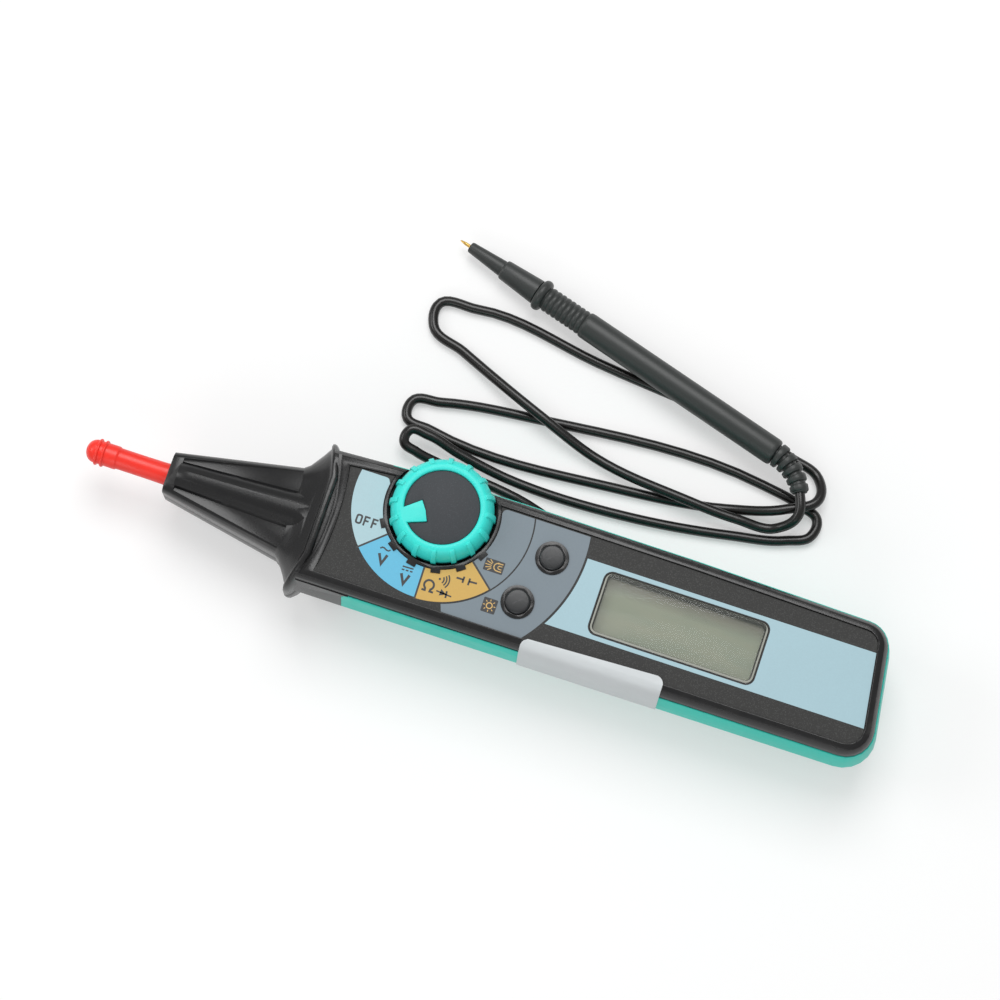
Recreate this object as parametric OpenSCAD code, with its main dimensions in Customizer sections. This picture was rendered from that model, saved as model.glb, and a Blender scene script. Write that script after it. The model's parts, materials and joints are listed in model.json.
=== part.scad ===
// Pen multimeter with a fixed lead and its second probe.
// The meter lies on its back. X runs along the pen, from the nose (negative) to the
// tail, Y runs across it towards the lead's side, and Z points up out of the panel.
// The origin is on the flat back, on the nose's centreline, level with the knob.

/* [Case] */
// Length from the knob axis to the tail
tail_x = 113.6; // [108:0.2:122]
// Length from the knob axis to the front of the nose
nose_x = 65.6; // [62:0.2:72]
// Widest half width on the plain side
near_half = 17.1; // [16.6:0.1:18.5]
// Widest half width on the knob's side
far_half = 19.4; // [19:0.1:20.5]
// Height of the rim round the panel
rim_z = 26.4; // [26.2:0.1:28]
// Height of the parting line between the black half and the grip
parting_z = 23; // [22.5:0.1:23.3]
// Height at which the case is widest
belly_z = 14.2; // [13:0.1:15]
// How far the belly curves in under the case
belly_inset = 13.5; // [12:0.1:14]
// Wall of the front shell
wall = 1.8; // [1.4:0.1:2]
// Wall of the teal grip
grip_wall = 1.4; // [1.2:0.1:1.6]
// Wall of the tub inside the grip
tub_wall = 1.4; // [1.2:0.1:1.6]

/* [Guard and nose] */
// Full width of the hand guard
guard_w = 37.4; // [36.8:0.1:40]
// Height of the hand guard
guard_z = 27.4; // [27:0.1:28.6]
// Distance from the knob axis to the guard's ridge
guard_x = 25.8; // [25.4:0.1:27]
// Height of the nose's centreline
nose_z = 13.7; // [13.2:0.1:14]
// Width of the nose's front face
nose_front_w = 10.2; // [9.6:0.1:12]
// Width of the nose where it meets the guard
nose_root_w = 23; // [21:0.1:25]

/* [Knob] */
// How far the knob's axis sits from the nose's centreline
knob_y = 10; // [9.6:0.1:10.4]
// Radius of the knob's ring
knob_r = 12.25; // [11.8:0.05:12.5]
// Radius of the grey disc
disc_r = 8.85; // [8.4:0.05:9.2]
// Number of ribs round the ring
rib_count = 16; // [8:1:24]
// Height of the knob's crown
knob_top_z = 31; // [30.6:0.1:32]

/* [Panel] */
// Length of the display window
window_l = 40; // [36:0.1:41]
// Width of the display window
window_w = 15; // [13:0.1:15.6]
// Radius of a button's cap
button_r = 2.95; // [2.7:0.05:3.1]
// Travel of a button
button_travel = 0.4; // [0.3:0.05:0.45]

/* [Pin and cap] */
// Radius of the steel pin
pin_r = 1; // [0.8:0.05:1.15]
// Length of pin that stands out of the nose
pin_out = 12; // [10:0.2:13]
// Length of the red cap
cap_l = 21.2; // [19:0.1:24]
// Radius of the red cap
cap_r = 2.6; // [2.3:0.05:2.8]

/* [Lead and probe] */
// Diameter of the lead
lead_d = 2.5; // [2.2:0.1:2.6]
// Radius of the probe's barrel
barrel_r = 3.4; // [3.2:0.05:3.6]
// Length of the probe without its strain relief
probe_l = 94; // [93.8:0.1:94.2]
// Radius of the probe's finger guard
probe_guard_r = 4.05; // [3.9:0.05:4.2]

/* [Hidden] */

// Numbers of facets, and small clearances shared by all pieces
fine = 64;
medium = 40;
thin = 0.01;
over = 1;
play = 0.05;
seam = 0.05;

// Outline of the case seen from above, at its widest
near_taper = 0.5;
far_taper = 0.8;
tail_slant = 2.8;
tail_near_r = 8;
tail_far_r = 7.5;
neck_back = 3.4;
neck_x = -guard_x - neck_back;
outline_x = neck_x - belly_inset - over;
far_bow_shares = [[0.53, 1], [0.35, 1.006], [0.16, 1.006], [-0.02, 0.993],
                  [-0.105, 0.964], [-0.25, 0.88]];
near_corner = [tail_x - tail_near_r, -near_half + near_taper + tail_near_r];
far_corner = [tail_x - tail_slant - tail_far_r, far_half - far_taper - tail_far_r];
slant_angle = atan2(near_corner[0] + tail_near_r - far_corner[0] - tail_far_r,
                    far_corner[1] - near_corner[1]);
corner_steps = 6;
function arc_points(c, r, a0, a1, n) =
    [for (i = [0:n]) c + r * [cos(a0 + (a1 - a0) * i / n), sin(a0 + (a1 - a0) * i / n)]];
far_bow = [for (p = far_bow_shares) [p[0] * tail_x, p[1] * far_half]];
case_outline = concat(
    [[outline_x, -near_half], [0, -near_half]],
    arc_points(near_corner, tail_near_r, -90, slant_angle, corner_steps),
    arc_points(far_corner, tail_far_r, slant_angle, 90, corner_steps),
    far_bow,
    [[outline_x, far_bow[len(far_bow) - 1][1]]]);

// Side walls and shoulder
grip_draft = 1.1;
shoulder_inset = 1.3;
shoulder_w = 2.35;
belly_step = 22.5;
shoulder_step = 30;
grip_start_x = -16.5;
bulkhead_t = 2;
tub_inset = grip_wall + seam;
cavity_inset = tub_inset + tub_wall;

// Panel recess and what sits in it
rim_w = 0.25;
recess_depth = 0.8;
label_t = 0.4;
deck_t = 1.6;
label_gap = 0.15;
recess_z = rim_z - recess_depth;
label_z = recess_z + label_t;
deck_z = recess_z - deck_t;
recess_inset = shoulder_inset + shoulder_w + rim_w;
panel_end_w = 2.85;
panel_bow_r = 70;
panel_bow_x = -guard_x + panel_end_w - panel_bow_r;

// Guard and nose. The guard's rings go from the nose over the skirt and the bead to
// the case: each has its step along the pen, and its share of the bead's size
bow_r = 42;
bow_x = -guard_x - bow_r;
guard_top_r = 9;
guard_low_r = 11;
guard_ring_steps = [-7.8, -6.3, -3.2, -1.5, -1.05, -0.9, -0.5, 0, 0.5, 0.9, 1.05, 1.4, 2.6];
guard_ring_shares = [-0.05, 0.08, 0.5, 0.74, 0.8, 0.9, 0.98, 1, 0.98, 0.9, 0.78, 0.7, 0.55];
groove_start = 1;
groove_w = 0.75;
groove_z = 25.8;
start_corner_r = 2.2;
skirt_l = 6.8;
nose_root_x = -guard_x - skirt_l;
nose_root_low = 4.5;
nose_root_top = 22.2;
nose_front_low = 6.8;
nose_front_top = 19.2;
nose_front_r = 2;
nose_root_r = 4;
nose_slope = atan2(nose_root_top - nose_front_top, nose_x + nose_root_x);
pocket_depth = 0.9;
pocket_border = 1.5;
pocket_front = 2.6;
spine_front_r = 3.6;
spine_root_r = 5.4;
spine_sink = 1.4;
spine_drop = 0.7;
spine_bury = 2;
chamber_w = 10;
chamber_low = 11.4;
chamber_top = 19.6;
chamber_front_x = -42;

// Knob and switch
well_r = 13.1;
well_drop = 0.4;
well_floor_z = deck_z - well_drop;
well_floor_t = 1.6;
floor_low_z = well_floor_z - well_floor_t;
floor_gap = 0.15;
index_r = 13.9;
tab_r = 14.9;
tab_w = 2.3;
tab_count = 6;
tab_step = 24;
off_angle = -150;
skirt_gap = 0.5;
skirt_z = well_floor_z + skirt_gap;
disc_t = 1.6;
disc_sink = 0.6;
disc_top_z = knob_top_z - disc_sink;
seat_z = disc_top_z - disc_t;
web_t = 2.2;
hub_r = 2.6;
hub_end_z = 20.4;
knob_wall = 1.5;
crown_r = 9.8;
crown_rise = 4.8;
crown_step = 15;
rib_h = 0.45;
rib_sink = 0.3;
rib_angle = 5.5;
rib_top_angle = 75;
wedge_inner_r = 4.2;
wedge_inner_w = 5.2;
wedge_outer_w = 3.6;
wedge_gap = 0.1;
rotor_r = 5.3;
rotor_gap = 0.1;
rotor_low_z = 19.2;
rotor_top_z = floor_low_z - rotor_gap;
ball_r = 0.8;
ball_ring_r = 3.95;
ball_sink = 0.25;
ball_z = rotor_top_z - ball_sink;
spring_r = 0.6;
spring_bore_r = 0.35;
spring_l = 0.9;
arm_count = 3;
arm_start_r = 1.4;
arm_end_r = 4.6;
arm_w = 0.9;
arm_t = 0.3;
bump_r = 0.4;
bump_gap = 0.1;

// Board, display and buttons
board_z = 16.4;
board_t = 1.6;
board_top = board_z + board_t;
board_inset = 4.6;
board_end_x = -26;
tongue_x = -37;
tongue_w = 8;
window_x = 61.35;
window_y = 1.1;
window_r = 1.8;
window_t = 1.2;
window_ledge = 0.8;
glass_t = 2.4;
glass_gap = 0.1;
glass_margin = 1.6;
glass_side = 2.1;
glass_ledge = 1;
holder_t = 1.6;
strip_w = 1.8;
strip_l = 38;
strip_gap = 0.4;
glass_top_z = deck_z - glass_gap;
glass_low_z = glass_top_z - glass_t;
glass_x0 = window_x - window_l / 2 - glass_margin;
glass_x1 = window_x + window_l / 2 + glass_margin;
glass_y0 = window_y - window_w / 2 - glass_side;
glass_y1 = window_y + window_w / 2 + glass_side;
select_x = 28;
select_y = 7.5;
hold_x = 23.6;
hold_y = -5;
button_places = [[select_x, select_y], [hold_x, hold_y]];
collar_r = 4;
collar_h = 0.7;
button_rise = 1.3;
button_top_z = label_z + button_rise;
stem_drop = 1.4;
stem_z = deck_z - stem_drop;
button_flange_r = 3.7;
button_flange_t = 1.3;
button_edge_r = 0.6;
switch_w = 6;
switch_h = 3;
plunger_r = 1.7;
plunger_h = 1.15;
buzzer_r = 6.5;
buzzer_t = 3.2;
buzzer_x = 52;
chip_w = 9;
chip_t = 1.1;
chip_x = 18;
resistor_r = 1.2;
resistor_l = 9;
resistor_x = -2;
resistor_ys = [-7.5, -4];

// Battery bay
cover_half = 9.5;
bay_y = 1.2;
cover_gap = 0.15;
cover_margin = 1.5;
cover_screw_gap = 3;
cell_r = 5.8;
cell_h = 5.4;
cell_pitch = 12.2;
cell_x = 78.2;
cell_z = 3.6;
cell_gap = 0.1;
holder_margin = 0.9;
holder_low = 3.2;
holder_roof = 1;
bay_gap = 0.1;
contact_r = 3;
contact_t = 0.3;
bridge_w = 3;
dimple_r = 1.5;
bay_post_r = 1.5;
cover_boss_top = 7.5;
cover_head_t = 0.8;
roof_low_z = cell_z + cell_h + cell_gap + contact_t;
bay_x0 = cell_x - cell_r - holder_margin;
bay_x1 = cell_x + cell_pitch + cell_r + holder_margin;
bay_half = cell_r + holder_margin;
cover_x0 = bay_x0 - cover_margin;
cover_screw_x = bay_x1 + cover_screw_gap;
cover_x1 = cover_screw_x + cover_screw_gap;

// Screws, each with its place and the height of its head
boss_r = 2.8;
shank_r = 1;
head_r = 2;
head_t = 1.6;
screw_grip = 3;
case_screw_places = [[-20.5, 0, 3], [34, 1.5, 3], [105.9, -4, 4.2]];

// Torch lamp, pin and its contact
torch_z = 9.3;
torch_r = 1.5;
torch_l = 5.2;
pin_root_x = -33;
pin_point = 2;
contact_x0 = -36.8;
contact_x1 = -34;
contact_w = 3.4;
contact_low = 12.2;

// Red cap, with distances measured from its open end
cap_gap = 0.1;
cap_flare = 0.15;
cap_head_r = 2.85;
cap_ring_r = 3.3;
cap_ring_t = 0.8;
cap_neck_l = 13;
cap_ring_starts = [16.3, 17.8];
cap_dome_start = 18.7;
cap_dome_step = 15;
cap_point_room = 1;

// White sticker
sticker_x0 = 27.4;
sticker_x1 = 61.9;
sticker_y0 = -12.7;
sticker_y1 = -11.2;
sticker_low_z = 12.5;
sticker_t = 0.25;

// Lead exit
exit_point = [27.5, 18.6, 6.3];
exit_yaw = 158;
exit_drop = 14;
exit_run = 4.5;
grommet_r = 2.2;
grommet_l = 9;
exit_boss_r = 3.4;
exit_boss_back = 1.2;
exit_way = [cos(exit_drop) * cos(exit_yaw), cos(exit_drop) * sin(exit_yaw),
            -sin(exit_drop)];

// Probe at the lead's far end, laid with its finger guard on the floor
probe_tip = [-19.5, 80.4, 3.2];
probe_yaw = -17.1;
probe_pitch = 2.3;
needle_r = 1;
needle_tip_r = 0.5;
needle_step = 7;
needle_l = 34;
needle_point = 1.5;
cap_thin_start = 3;
cap_step_at = 13;
needle_cap_end = 23.4;
cap_thin_r0 = 1.35;
cap_thin_r1 = 2.1;
cap_thick_r0 = 2.5;
cap_thick_r1 = 3.2;
guard_start = 23.5;
guard_end = 25.8;
guard_edge = 0.5;
grip_end = 37;
grip_r = 2.95;
grip_ring_count = 8;
grip_ring_h = 0.2;
relief_bend_r = 13.5;
relief_angle = 50;
relief_core_r = 1.9;
relief_rings = 5;
relief_r0 = 3.1;
relief_r1 = 2.1;
relief_ring_w = 1.7;

function probe_place(p) =
    let (c = cos(probe_pitch), s = sin(probe_pitch),
         x = c * p[0] - s * p[2], z = s * p[0] + c * p[2])
    probe_tip + [x * cos(probe_yaw) - p[1] * sin(probe_yaw),
                 x * sin(probe_yaw) + p[1] * cos(probe_yaw), z];
relief_end = probe_place([probe_l + relief_bend_r * sin(relief_angle),
                          -relief_bend_r * (1 - cos(relief_angle)), 0]);
relief_way = probe_place([cos(relief_angle), -sin(relief_angle), 0])
           - probe_place([0, 0, 0]);

// Route of the lead from the case to the probe, with short spans in the bends
lead_sides = 8;
short_span = 7;
long_span = 22;
lead_lift = 0.02;
lead_route = concat([exit_point, exit_point + exit_run * exit_way],
    [[17, 22.6, 2.6], [-7, 25.6, 2.2], [-12.6, 26.3, 3.6], [-16.2, 27.7, 4.4],
     [-15.8, 30.6, 4.8], [-11, 31, 4.4], [-3, 29.3, 3], [10, 27.4, 1.3],
     [40, 27.6, 1.3], [66, 31.2, 1.3], [79, 34.2, 1.3], [84.6, 37.3, 1.3],
     [84.8, 41.4, 1.3], [80, 43.6, 1.3], [70, 45.6, 1.3], [14, 44, 1.3],
     [-11, 40.4, 1.3], [-18, 38.3, 1.3], [-18, 34.6, 1.3], [-11.4, 33, 1.3],
     [35, 33.4, 1.3], [63, 37.1, 1.5], [77, 41.1, 4.3], [83.6, 45.8, 3.9],
     [82, 51.4, 1.5], [74, 54.3, 1.3], [22, 62, 1.3], [-10, 65.5, 1.3],
     [-19.8, 63.2, 1.3], [-19, 58.2, 1.3], [-10, 54.2, 1.5], [13.4, 44.1, 4.5],
     [29, 38.9, 2.4], [52, 35.6, 4.5], [66, 35, 3.9], [76, 35.9, 3.8],
     [80, 39.8, 7]],
    [relief_end]);

// Directions in which the lead passes the points of its route
lead_chords = [for (i = [0:len(lead_route) - 2]) lead_route[i + 1] - lead_route[i]];
lead_ways = concat([exit_way],
    [for (i = [1:len(lead_chords) - 1])
        let (a = lead_chords[i - 1], b = lead_chords[i],
             v = norm(b) / norm(a) * a + norm(a) / norm(b) * b)
        v / norm(v)],
    [-relief_way]);

// Length that carries each span round its bend as a circle would
lead_reaches = [for (i = [0:len(lead_chords) - 1])
    norm(lead_chords[i])
    / pow(cos(acos(min(1, max(-1, lead_ways[i] * lead_ways[i + 1]))) / 4), 2)];

// Rings of the lead in each span, and points six to a span for its own gap
lead_steps = [for (c = lead_chords)
    norm(c) < short_span ? 1 : norm(c) < long_span ? 2 : 3];
lead_checks = 6;

// Colours
case_black = [0.13, 0.13, 0.14];
grip_teal = [0.36, 0.72, 0.68];
knob_teal = [0.3, 0.9, 0.86];
label_dark = [0.3, 0.3, 0.31];
glass_grey = [0.53, 0.55, 0.5];
clear_grey = [0.7, 0.75, 0.78];
disc_grey = [0.35, 0.36, 0.38];
board_green = [0.12, 0.4, 0.25];
brass_gold = [0.8, 0.66, 0.3];
steel_grey = [0.75, 0.76, 0.78];
cap_red = [0.95, 0.22, 0.2];
paper_white = [0.92, 0.92, 0.93];
frame_white = [0.85, 0.85, 0.82];
strip_pink = [0.85, 0.6, 0.62];

// Box by its opposite corners
module bar(x0, x1, y0, y1, z0, z1)
    translate([x0, y0, z0]) cube([x1 - x0, y1 - y0, z1 - z0]);

// Upright round bar
module post(x, y, z0, z1, r, n = medium)
    translate([x, y, z0]) cylinder(h = z1 - z0, r = r, $fn = n);

// Round bar along X
module rod(x0, x1, y, z, r, n = medium)
    translate([x0, y, z]) rotate([0, 90, 0]) cylinder(h = x1 - x0, r = r, $fn = n);

// Turned piece along X, from pairs of distance and radius
module turned(points, n = medium)
    rotate([0, 90, 0]) rotate_extrude($fn = n)
        polygon(concat([[0, points[0][0]]], [for (p = points) [p[1], p[0]]],
                       [[0, points[len(points) - 1][0]]]));

// Rectangle with round corners, centred on a point
module round_rect(x, y, l, w, r) {
    corners = [[-1, -1], [1, -1], [1, 1], [-1, 1]];
    polygon([for (i = [0:3])
             each arc_points([x + corners[i][0] * (l / 2 - r),
                              y + corners[i][1] * (w / 2 - r)],
                             r, 180 + 90 * i, 270 + 90 * i, corner_steps)]);
}

// Case outline drawn in by an inset
module case_plan(inset)
    offset(delta = -inset) polygon(case_outline);

module case_slice(z, inset)
    translate([0, 0, z]) linear_extrude(thin) case_plan(inset);

// Everything on the tail's side of a plane across the pen
module behind(x)
    bar(x, 2 * tail_x, -guard_w, guard_w, -over, knob_top_z);

// Lower half of the case, drawn in evenly by w
module lower_form(w)
    hull() {
        for (a = [0:belly_step:90])
            case_slice(belly_z - (belly_z - w) * sin(a),
                       w + (belly_inset - w) * (1 - cos(a)));
        case_slice(parting_z - thin, grip_draft + w);
    }

// Upper half of the case, with its rounded shoulder
module upper_form()
    hull()
        for (a = [0:shoulder_step:90])
            case_slice(parting_z + (rim_z - parting_z) * sin(a) - (a > 0 ? thin : 0),
                       shoulder_inset + shoulder_w * (1 - cos(a)));

// Outline across the pen with round corners, as points of Y and Z
function cross_points(w, low, top, low_r, top_r) = concat(
    arc_points([w / 2 - low_r, low + low_r], low_r, -90, 0, corner_steps),
    arc_points([w / 2 - top_r, top - top_r], top_r, 0, 90, corner_steps),
    arc_points([-w / 2 + top_r, top - top_r], top_r, 90, 180, corner_steps),
    arc_points([-w / 2 + low_r, low + low_r], low_r, 180, 270, corner_steps));

module cross_slice(x, w, low, top, r)
    translate([x, 0, 0]) rotate([90, 0, 90]) linear_extrude(thin)
        polygon(cross_points(w, low, top, r, r));

// Value at a share of the way from the nose's root to the guard's bead
function guard_mix(root, bead, share) = root + share * (bead - root);

// Guard that keeps the hand off the pin: a skirt that flares up from the nose to a
// round bead, all bowed across the pen
module guard() {
    rings = [for (i = [0:len(guard_ring_steps) - 1])
        let (s = guard_ring_shares[i])
        [for (p = cross_points(guard_mix(nose_root_w, guard_w, s),
                               guard_mix(nose_root_low, 0, s),
                               guard_mix(nose_root_top, guard_z, s),
                               guard_mix(nose_root_r, guard_low_r, s),
                               guard_mix(nose_root_r, guard_top_r, s)))
            [-guard_x + guard_ring_steps[i] - p[0] * p[0] / 2 / bow_r, p[0], p[1]]]];
    n = len(rings[0]);
    m = len(rings);
    ends = [for (i = [0, m - 1]) [-guard_x + guard_ring_steps[i], 0, nose_z]];
    polyhedron(
        points = concat([for (r = rings) each r], ends),
        faces = concat(
            [for (i = [0:m - 2]) for (k = [0:n - 1])
                let (a = i * n + k, b = i * n + (k + 1) % n)
                each [[a, a + n, b + n], [a, b + n, b]]],
            [for (k = [0:n - 1]) [m * n, k, (k + 1) % n]],
            [for (k = [0:n - 1]) [m * n + 1, (m - 1) * n + (k + 1) % n, (m - 1) * n + k]]));
}

// Everything on the tail's side of the guard's bead
module behind_guard()
    difference() {
        behind(-2 * nose_x);
        translate([bow_x, 0, -2 * over])
            cylinder(h = 2 * guard_z, r = bow_r, $fn = 4 * fine);
    }

// Groove between the guard's bead and the rim of the panel
module guard_groove()
    translate([bow_x, 0, groove_z]) difference() {
        cylinder(h = guard_z, r = bow_r + groove_start + groove_w, $fn = 4 * fine);
        translate([0, 0, -over])
            cylinder(h = 2 * guard_z, r = bow_r + groove_start, $fn = 4 * fine);
    }

// What lies outside the grip's rounded front corner, with a gap of g
module start_corner(g)
    difference() {
        bar(grip_start_x - over, grip_start_x + start_corner_r, -guard_w, guard_w,
            parting_z - start_corner_r, parting_z + over);
        translate([grip_start_x + start_corner_r, guard_w, parting_z - start_corner_r])
            rotate([90, 0, 0])
                cylinder(h = 2 * guard_w, r = start_corner_r + g, $fn = medium);
    }

// Hollows either side of the nose's round spine
module nose_pockets() {
    front_x = -nose_x + pocket_front;
    root_x = nose_root_x + over;
    reach = nose_x + nose_root_x;
    grow = (nose_root_w - nose_front_w) / 2 / reach;
    front_half = nose_front_w / 2 + grow * pocket_front - pocket_border;
    root_half = nose_root_w / 2 + grow * over - pocket_border;
    intersection() {
        linear_extrude(guard_z)
            polygon([[front_x, -front_half], [root_x, -root_half], [root_x + over, 0],
                     [root_x, root_half], [front_x, front_half]]);
        translate([-nose_x, -nose_root_w, nose_front_top - pocket_depth])
            rotate([0, -nose_slope, 0])
                cube([2 * reach, 2 * nose_root_w, guard_z]);
    }
}

// Round spine that runs down the middle of the nose
module nose_spine() {
    front_x = -nose_x + pocket_front;
    reach = -guard_x - spine_bury - front_x;
    slope = atan2((nose_x + nose_root_x) * tan(nose_slope) - spine_drop, reach);
    translate([front_x, 0, nose_front_top - pocket_depth - spine_sink
               + pocket_front * tan(nose_slope)])
        rotate([0, 90 - slope, 0])
            cylinder(h = reach / cos(slope), r1 = spine_front_r, r2 = spine_root_r,
                     $fn = fine);
}

// Nose, guard and neck as one block, before it is split and bored
module nose_block() {
    difference() {
        hull() {
            cross_slice(-nose_x, nose_front_w, nose_front_low, nose_front_top,
                        nose_front_r);
            cross_slice(nose_root_x, nose_root_w, nose_root_low, nose_root_top,
                        nose_root_r);
        }
        nose_pockets();
    }
    nose_spine();
    guard();
    intersection() {
        lower_form(0);
        union() {
            intersection() {
                behind_guard();
                bar(-2 * nose_x, grip_start_x, -guard_w, guard_w, 0, parting_z);
            }
            difference() {
                start_corner(seam);
                lower_form(grip_wall);
            }
        }
    }
}

// Bores and chamber that the pin, its contact and the torch lamp sit in
module nose_bores() {
    rod(-nose_x - over, chamber_front_x + over, 0, nose_z, pin_r + play);
    rod(-nose_x - over, -nose_x + torch_l + play, 0, torch_z, torch_r + play);
    bar(chamber_front_x, neck_x + wall + over, -chamber_w / 2, chamber_w / 2,
        chamber_low, chamber_top);
}

// Hollow of the neck behind the guard
module neck_hollow()
    intersection() {
        lower_form(wall);
        bar(neck_x + wall, grip_start_x - bulkhead_t, -guard_w, guard_w, 0, parting_z);
    }

// Hollow of the tub
module tub_hollow()
    intersection() {
        lower_form(cavity_inset);
        behind(grip_start_x - bulkhead_t - thin);
    }

module panel_plan(inset)
    difference() {
        case_plan(recess_inset + inset);
        translate([panel_bow_x, 0]) circle(r = panel_bow_r + inset, $fn = 4 * fine);
    }

module window_plan(inset)
    round_rect(window_x, window_y, window_l - 2 * inset, window_w - 2 * inset,
               window_r - inset);

// Raised ring round the knob with its index tabs
module index_ring(grow)
    union() {
        translate([0, knob_y]) circle(r = index_r + grow, $fn = fine);
        for (i = [0:tab_count - 1])
            translate([0, knob_y]) rotate(off_angle + tab_step * i)
                translate([0, -tab_w / 2 - grow])
                    square([tab_r + grow, tab_w + 2 * grow]);
    }

// Track for the balls, seen from the knob's axis
module detent_track()
    rotate_extrude($fn = fine) translate([ball_ring_r, ball_z])
        circle(r = ball_r + play, $fn = medium);

module front_shell()
    color(case_black) difference() {
        union() {
            difference() {
                intersection() {
                    upper_form();
                    behind_guard();
                }
                difference() {
                    intersection() {
                        case_prism(shoulder_inset + wall, parting_z - over, deck_z);
                        behind(neck_x + wall);
                    }
                    post(0, knob_y, parting_z - over, deck_z, well_r + wall, fine);
                }
            }
            intersection() {
                case_prism(cavity_inset + grip_draft + floor_gap, floor_low_z, well_floor_z);
                post(0, knob_y, floor_low_z, well_floor_z, well_r + wall, fine);
            }
            difference() {
                nose_block();
                bar(-2 * nose_x, grip_start_x + over, -guard_w, guard_w, -over, nose_z);
                neck_hollow();
                tub_hollow();
            }
            for (p = case_screw_places)
                post(p[0], p[1], board_top, deck_z + deck_t / 2, boss_r);
        }
        difference() {
            translate([0, 0, recess_z]) linear_extrude(recess_depth + over) panel_plan(0);
            translate([0, 0, recess_z - over])
                linear_extrude(label_z + rim_w - recess_z + over) index_ring(0);
            for (b = button_places)
                post(b[0], b[1], recess_z - over, recess_z + collar_h, collar_r);
        }
        translate([0, 0, deck_z - over]) linear_extrude(rim_z) window_plan(window_ledge);
        translate([0, 0, label_z - window_t]) linear_extrude(rim_z) window_plan(0);
        post(0, knob_y, well_floor_z, knob_top_z, well_r, fine);
        post(0, knob_y, board_z, knob_top_z, hub_r + play);
        translate([0, knob_y, 0]) detent_track();
        for (b = button_places)
            post(b[0], b[1], board_z, knob_top_z, button_r + play);
        for (p = case_screw_places)
            post(p[0], p[1], board_z, board_top + screw_grip + play, shank_r + play);
        guard_groove();
        nose_bores();
    }

// Upright walls of the case plan, between two heights
module case_prism(inset, z0, z1)
    translate([0, 0, z0]) linear_extrude(z1 - z0) case_plan(inset);

// Way for the lead's sleeve through the far wall
module exit_rod(r, back, front)
    translate(exit_point) rotate([0, 0, exit_yaw]) rotate([0, 90 + exit_drop, 0])
        translate([0, 0, -back]) cylinder(h = back + front, r = r, $fn = medium);

module rear_shell()
    color(case_black) difference() {
        union() {
            difference() {
                union() {
                    intersection() {
                        nose_block();
                        bar(-2 * nose_x, grip_start_x, -guard_w, guard_w, -over, nose_z);
                    }
                    difference() {
                        lower_form(tub_inset);
                        bar(-2 * nose_x, grip_start_x - over, -guard_w, guard_w,
                            -over, parting_z + over);
                        bar(-2 * nose_x, grip_start_x + seam, -guard_w, guard_w,
                            nose_z, parting_z + over);
                    }
                }
                difference() {
                    union() {
                        neck_hollow();
                        tub_hollow();
                    }
                    for (p = case_screw_places)
                        post(p[0], p[1], 0, board_z, boss_r);
                    post(cover_screw_x, bay_y, 0, cover_boss_top, boss_r);
                }
            }
        }
        for (p = case_screw_places) {
            post(p[0], p[1], -over, p[2] + head_t, head_r + play);
            post(p[0], p[1], 0, board_z + over, shank_r + play);
        }
        post(cover_screw_x, bay_y, -over, cover_boss_top - over, shank_r + play);
        bar(bay_x0 - bay_gap, bay_x1 + bay_gap, bay_y - bay_half - bay_gap,
            bay_y + bay_half + bay_gap, -over, cavity_inset + over);
        exit_rod(grommet_r + play, grommet_l + over, over);
        nose_bores();
    }

module rear_grip()
    color(grip_teal) difference() {
        union() {
            lower_form(0);
            exit_rod(exit_boss_r, grommet_l, -exit_boss_back);
        }
        lower_form(grip_wall);
        bar(-2 * nose_x, grip_start_x + seam, -guard_w, guard_w, -over, parting_z + over);
        start_corner(0);
        bar(cover_x0, cover_x1, bay_y - cover_half, bay_y + cover_half, -over, belly_z);
        for (p = case_screw_places)
            post(p[0], p[1], -over, belly_z, head_r + play);
        exit_rod(grommet_r + play, grommet_l + over, over);
    }

module panel_label()
    color(label_dark) translate([0, 0, recess_z]) linear_extrude(label_t)
        difference() {
            panel_plan(label_gap);
            index_ring(label_gap);
            window_plan(-label_gap);
            for (b = button_places)
                translate(b) circle(r = collar_r + label_gap, $fn = medium);
        }

module lcd_window()
    color(clear_grey) translate([0, 0, label_z - window_t]) linear_extrude(window_t)
        window_plan(play);

module lcd_glass()
    color(glass_grey)
        bar(glass_x0, glass_x1, glass_y0, glass_y1, glass_low_z, glass_top_z);

module lcd_holder()
    color(frame_white) difference() {
        bar(glass_x0 - holder_t, glass_x1 + holder_t, glass_y0 - holder_t,
            glass_y1 + holder_t, board_top, glass_top_z);
        bar(glass_x0 - play, glass_x1 + play, glass_y0 - play, glass_y1 + play,
            glass_low_z, glass_top_z + over);
        bar(glass_x0 + glass_ledge, glass_x1 - glass_ledge, glass_y0 + play,
            glass_y1 - play, board_z, glass_top_z);
    }

module lcd_backlight()
    color(paper_white)
        bar(glass_x0 + glass_ledge + play, glass_x1 - glass_ledge - play,
            glass_y0 + strip_w + 2 * strip_gap, glass_y1 - strip_w - 2 * strip_gap,
            board_top, glass_low_z - play);

module zebra_strips()
    color(strip_pink)
        for (y = [glass_y0 + strip_gap, glass_y1 - strip_gap - strip_w])
            bar(window_x - strip_l / 2, window_x + strip_l / 2, y, y + strip_w,
                board_top, glass_low_z);

module circuit_board()
    color(board_green) difference() {
        union() {
            intersection() {
                case_prism(board_inset, board_z, board_top);
                behind(board_end_x);
            }
            bar(tongue_x, board_end_x + over, -tongue_w / 2, tongue_w / 2,
                board_z, board_top);
        }
        for (p = case_screw_places)
            post(p[0], p[1], 0, rim_z, shank_r + play);
    }

module board_components()
    color(case_black) {
        bar(chip_x - chip_w / 2, chip_x + chip_w / 2, -chip_w / 2, chip_w / 2,
            board_z - chip_t, board_z);
        for (y = resistor_ys)
            rod(resistor_x - resistor_l / 2, resistor_x + resistor_l / 2, y,
                board_z - resistor_r, resistor_r);
    }

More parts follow.
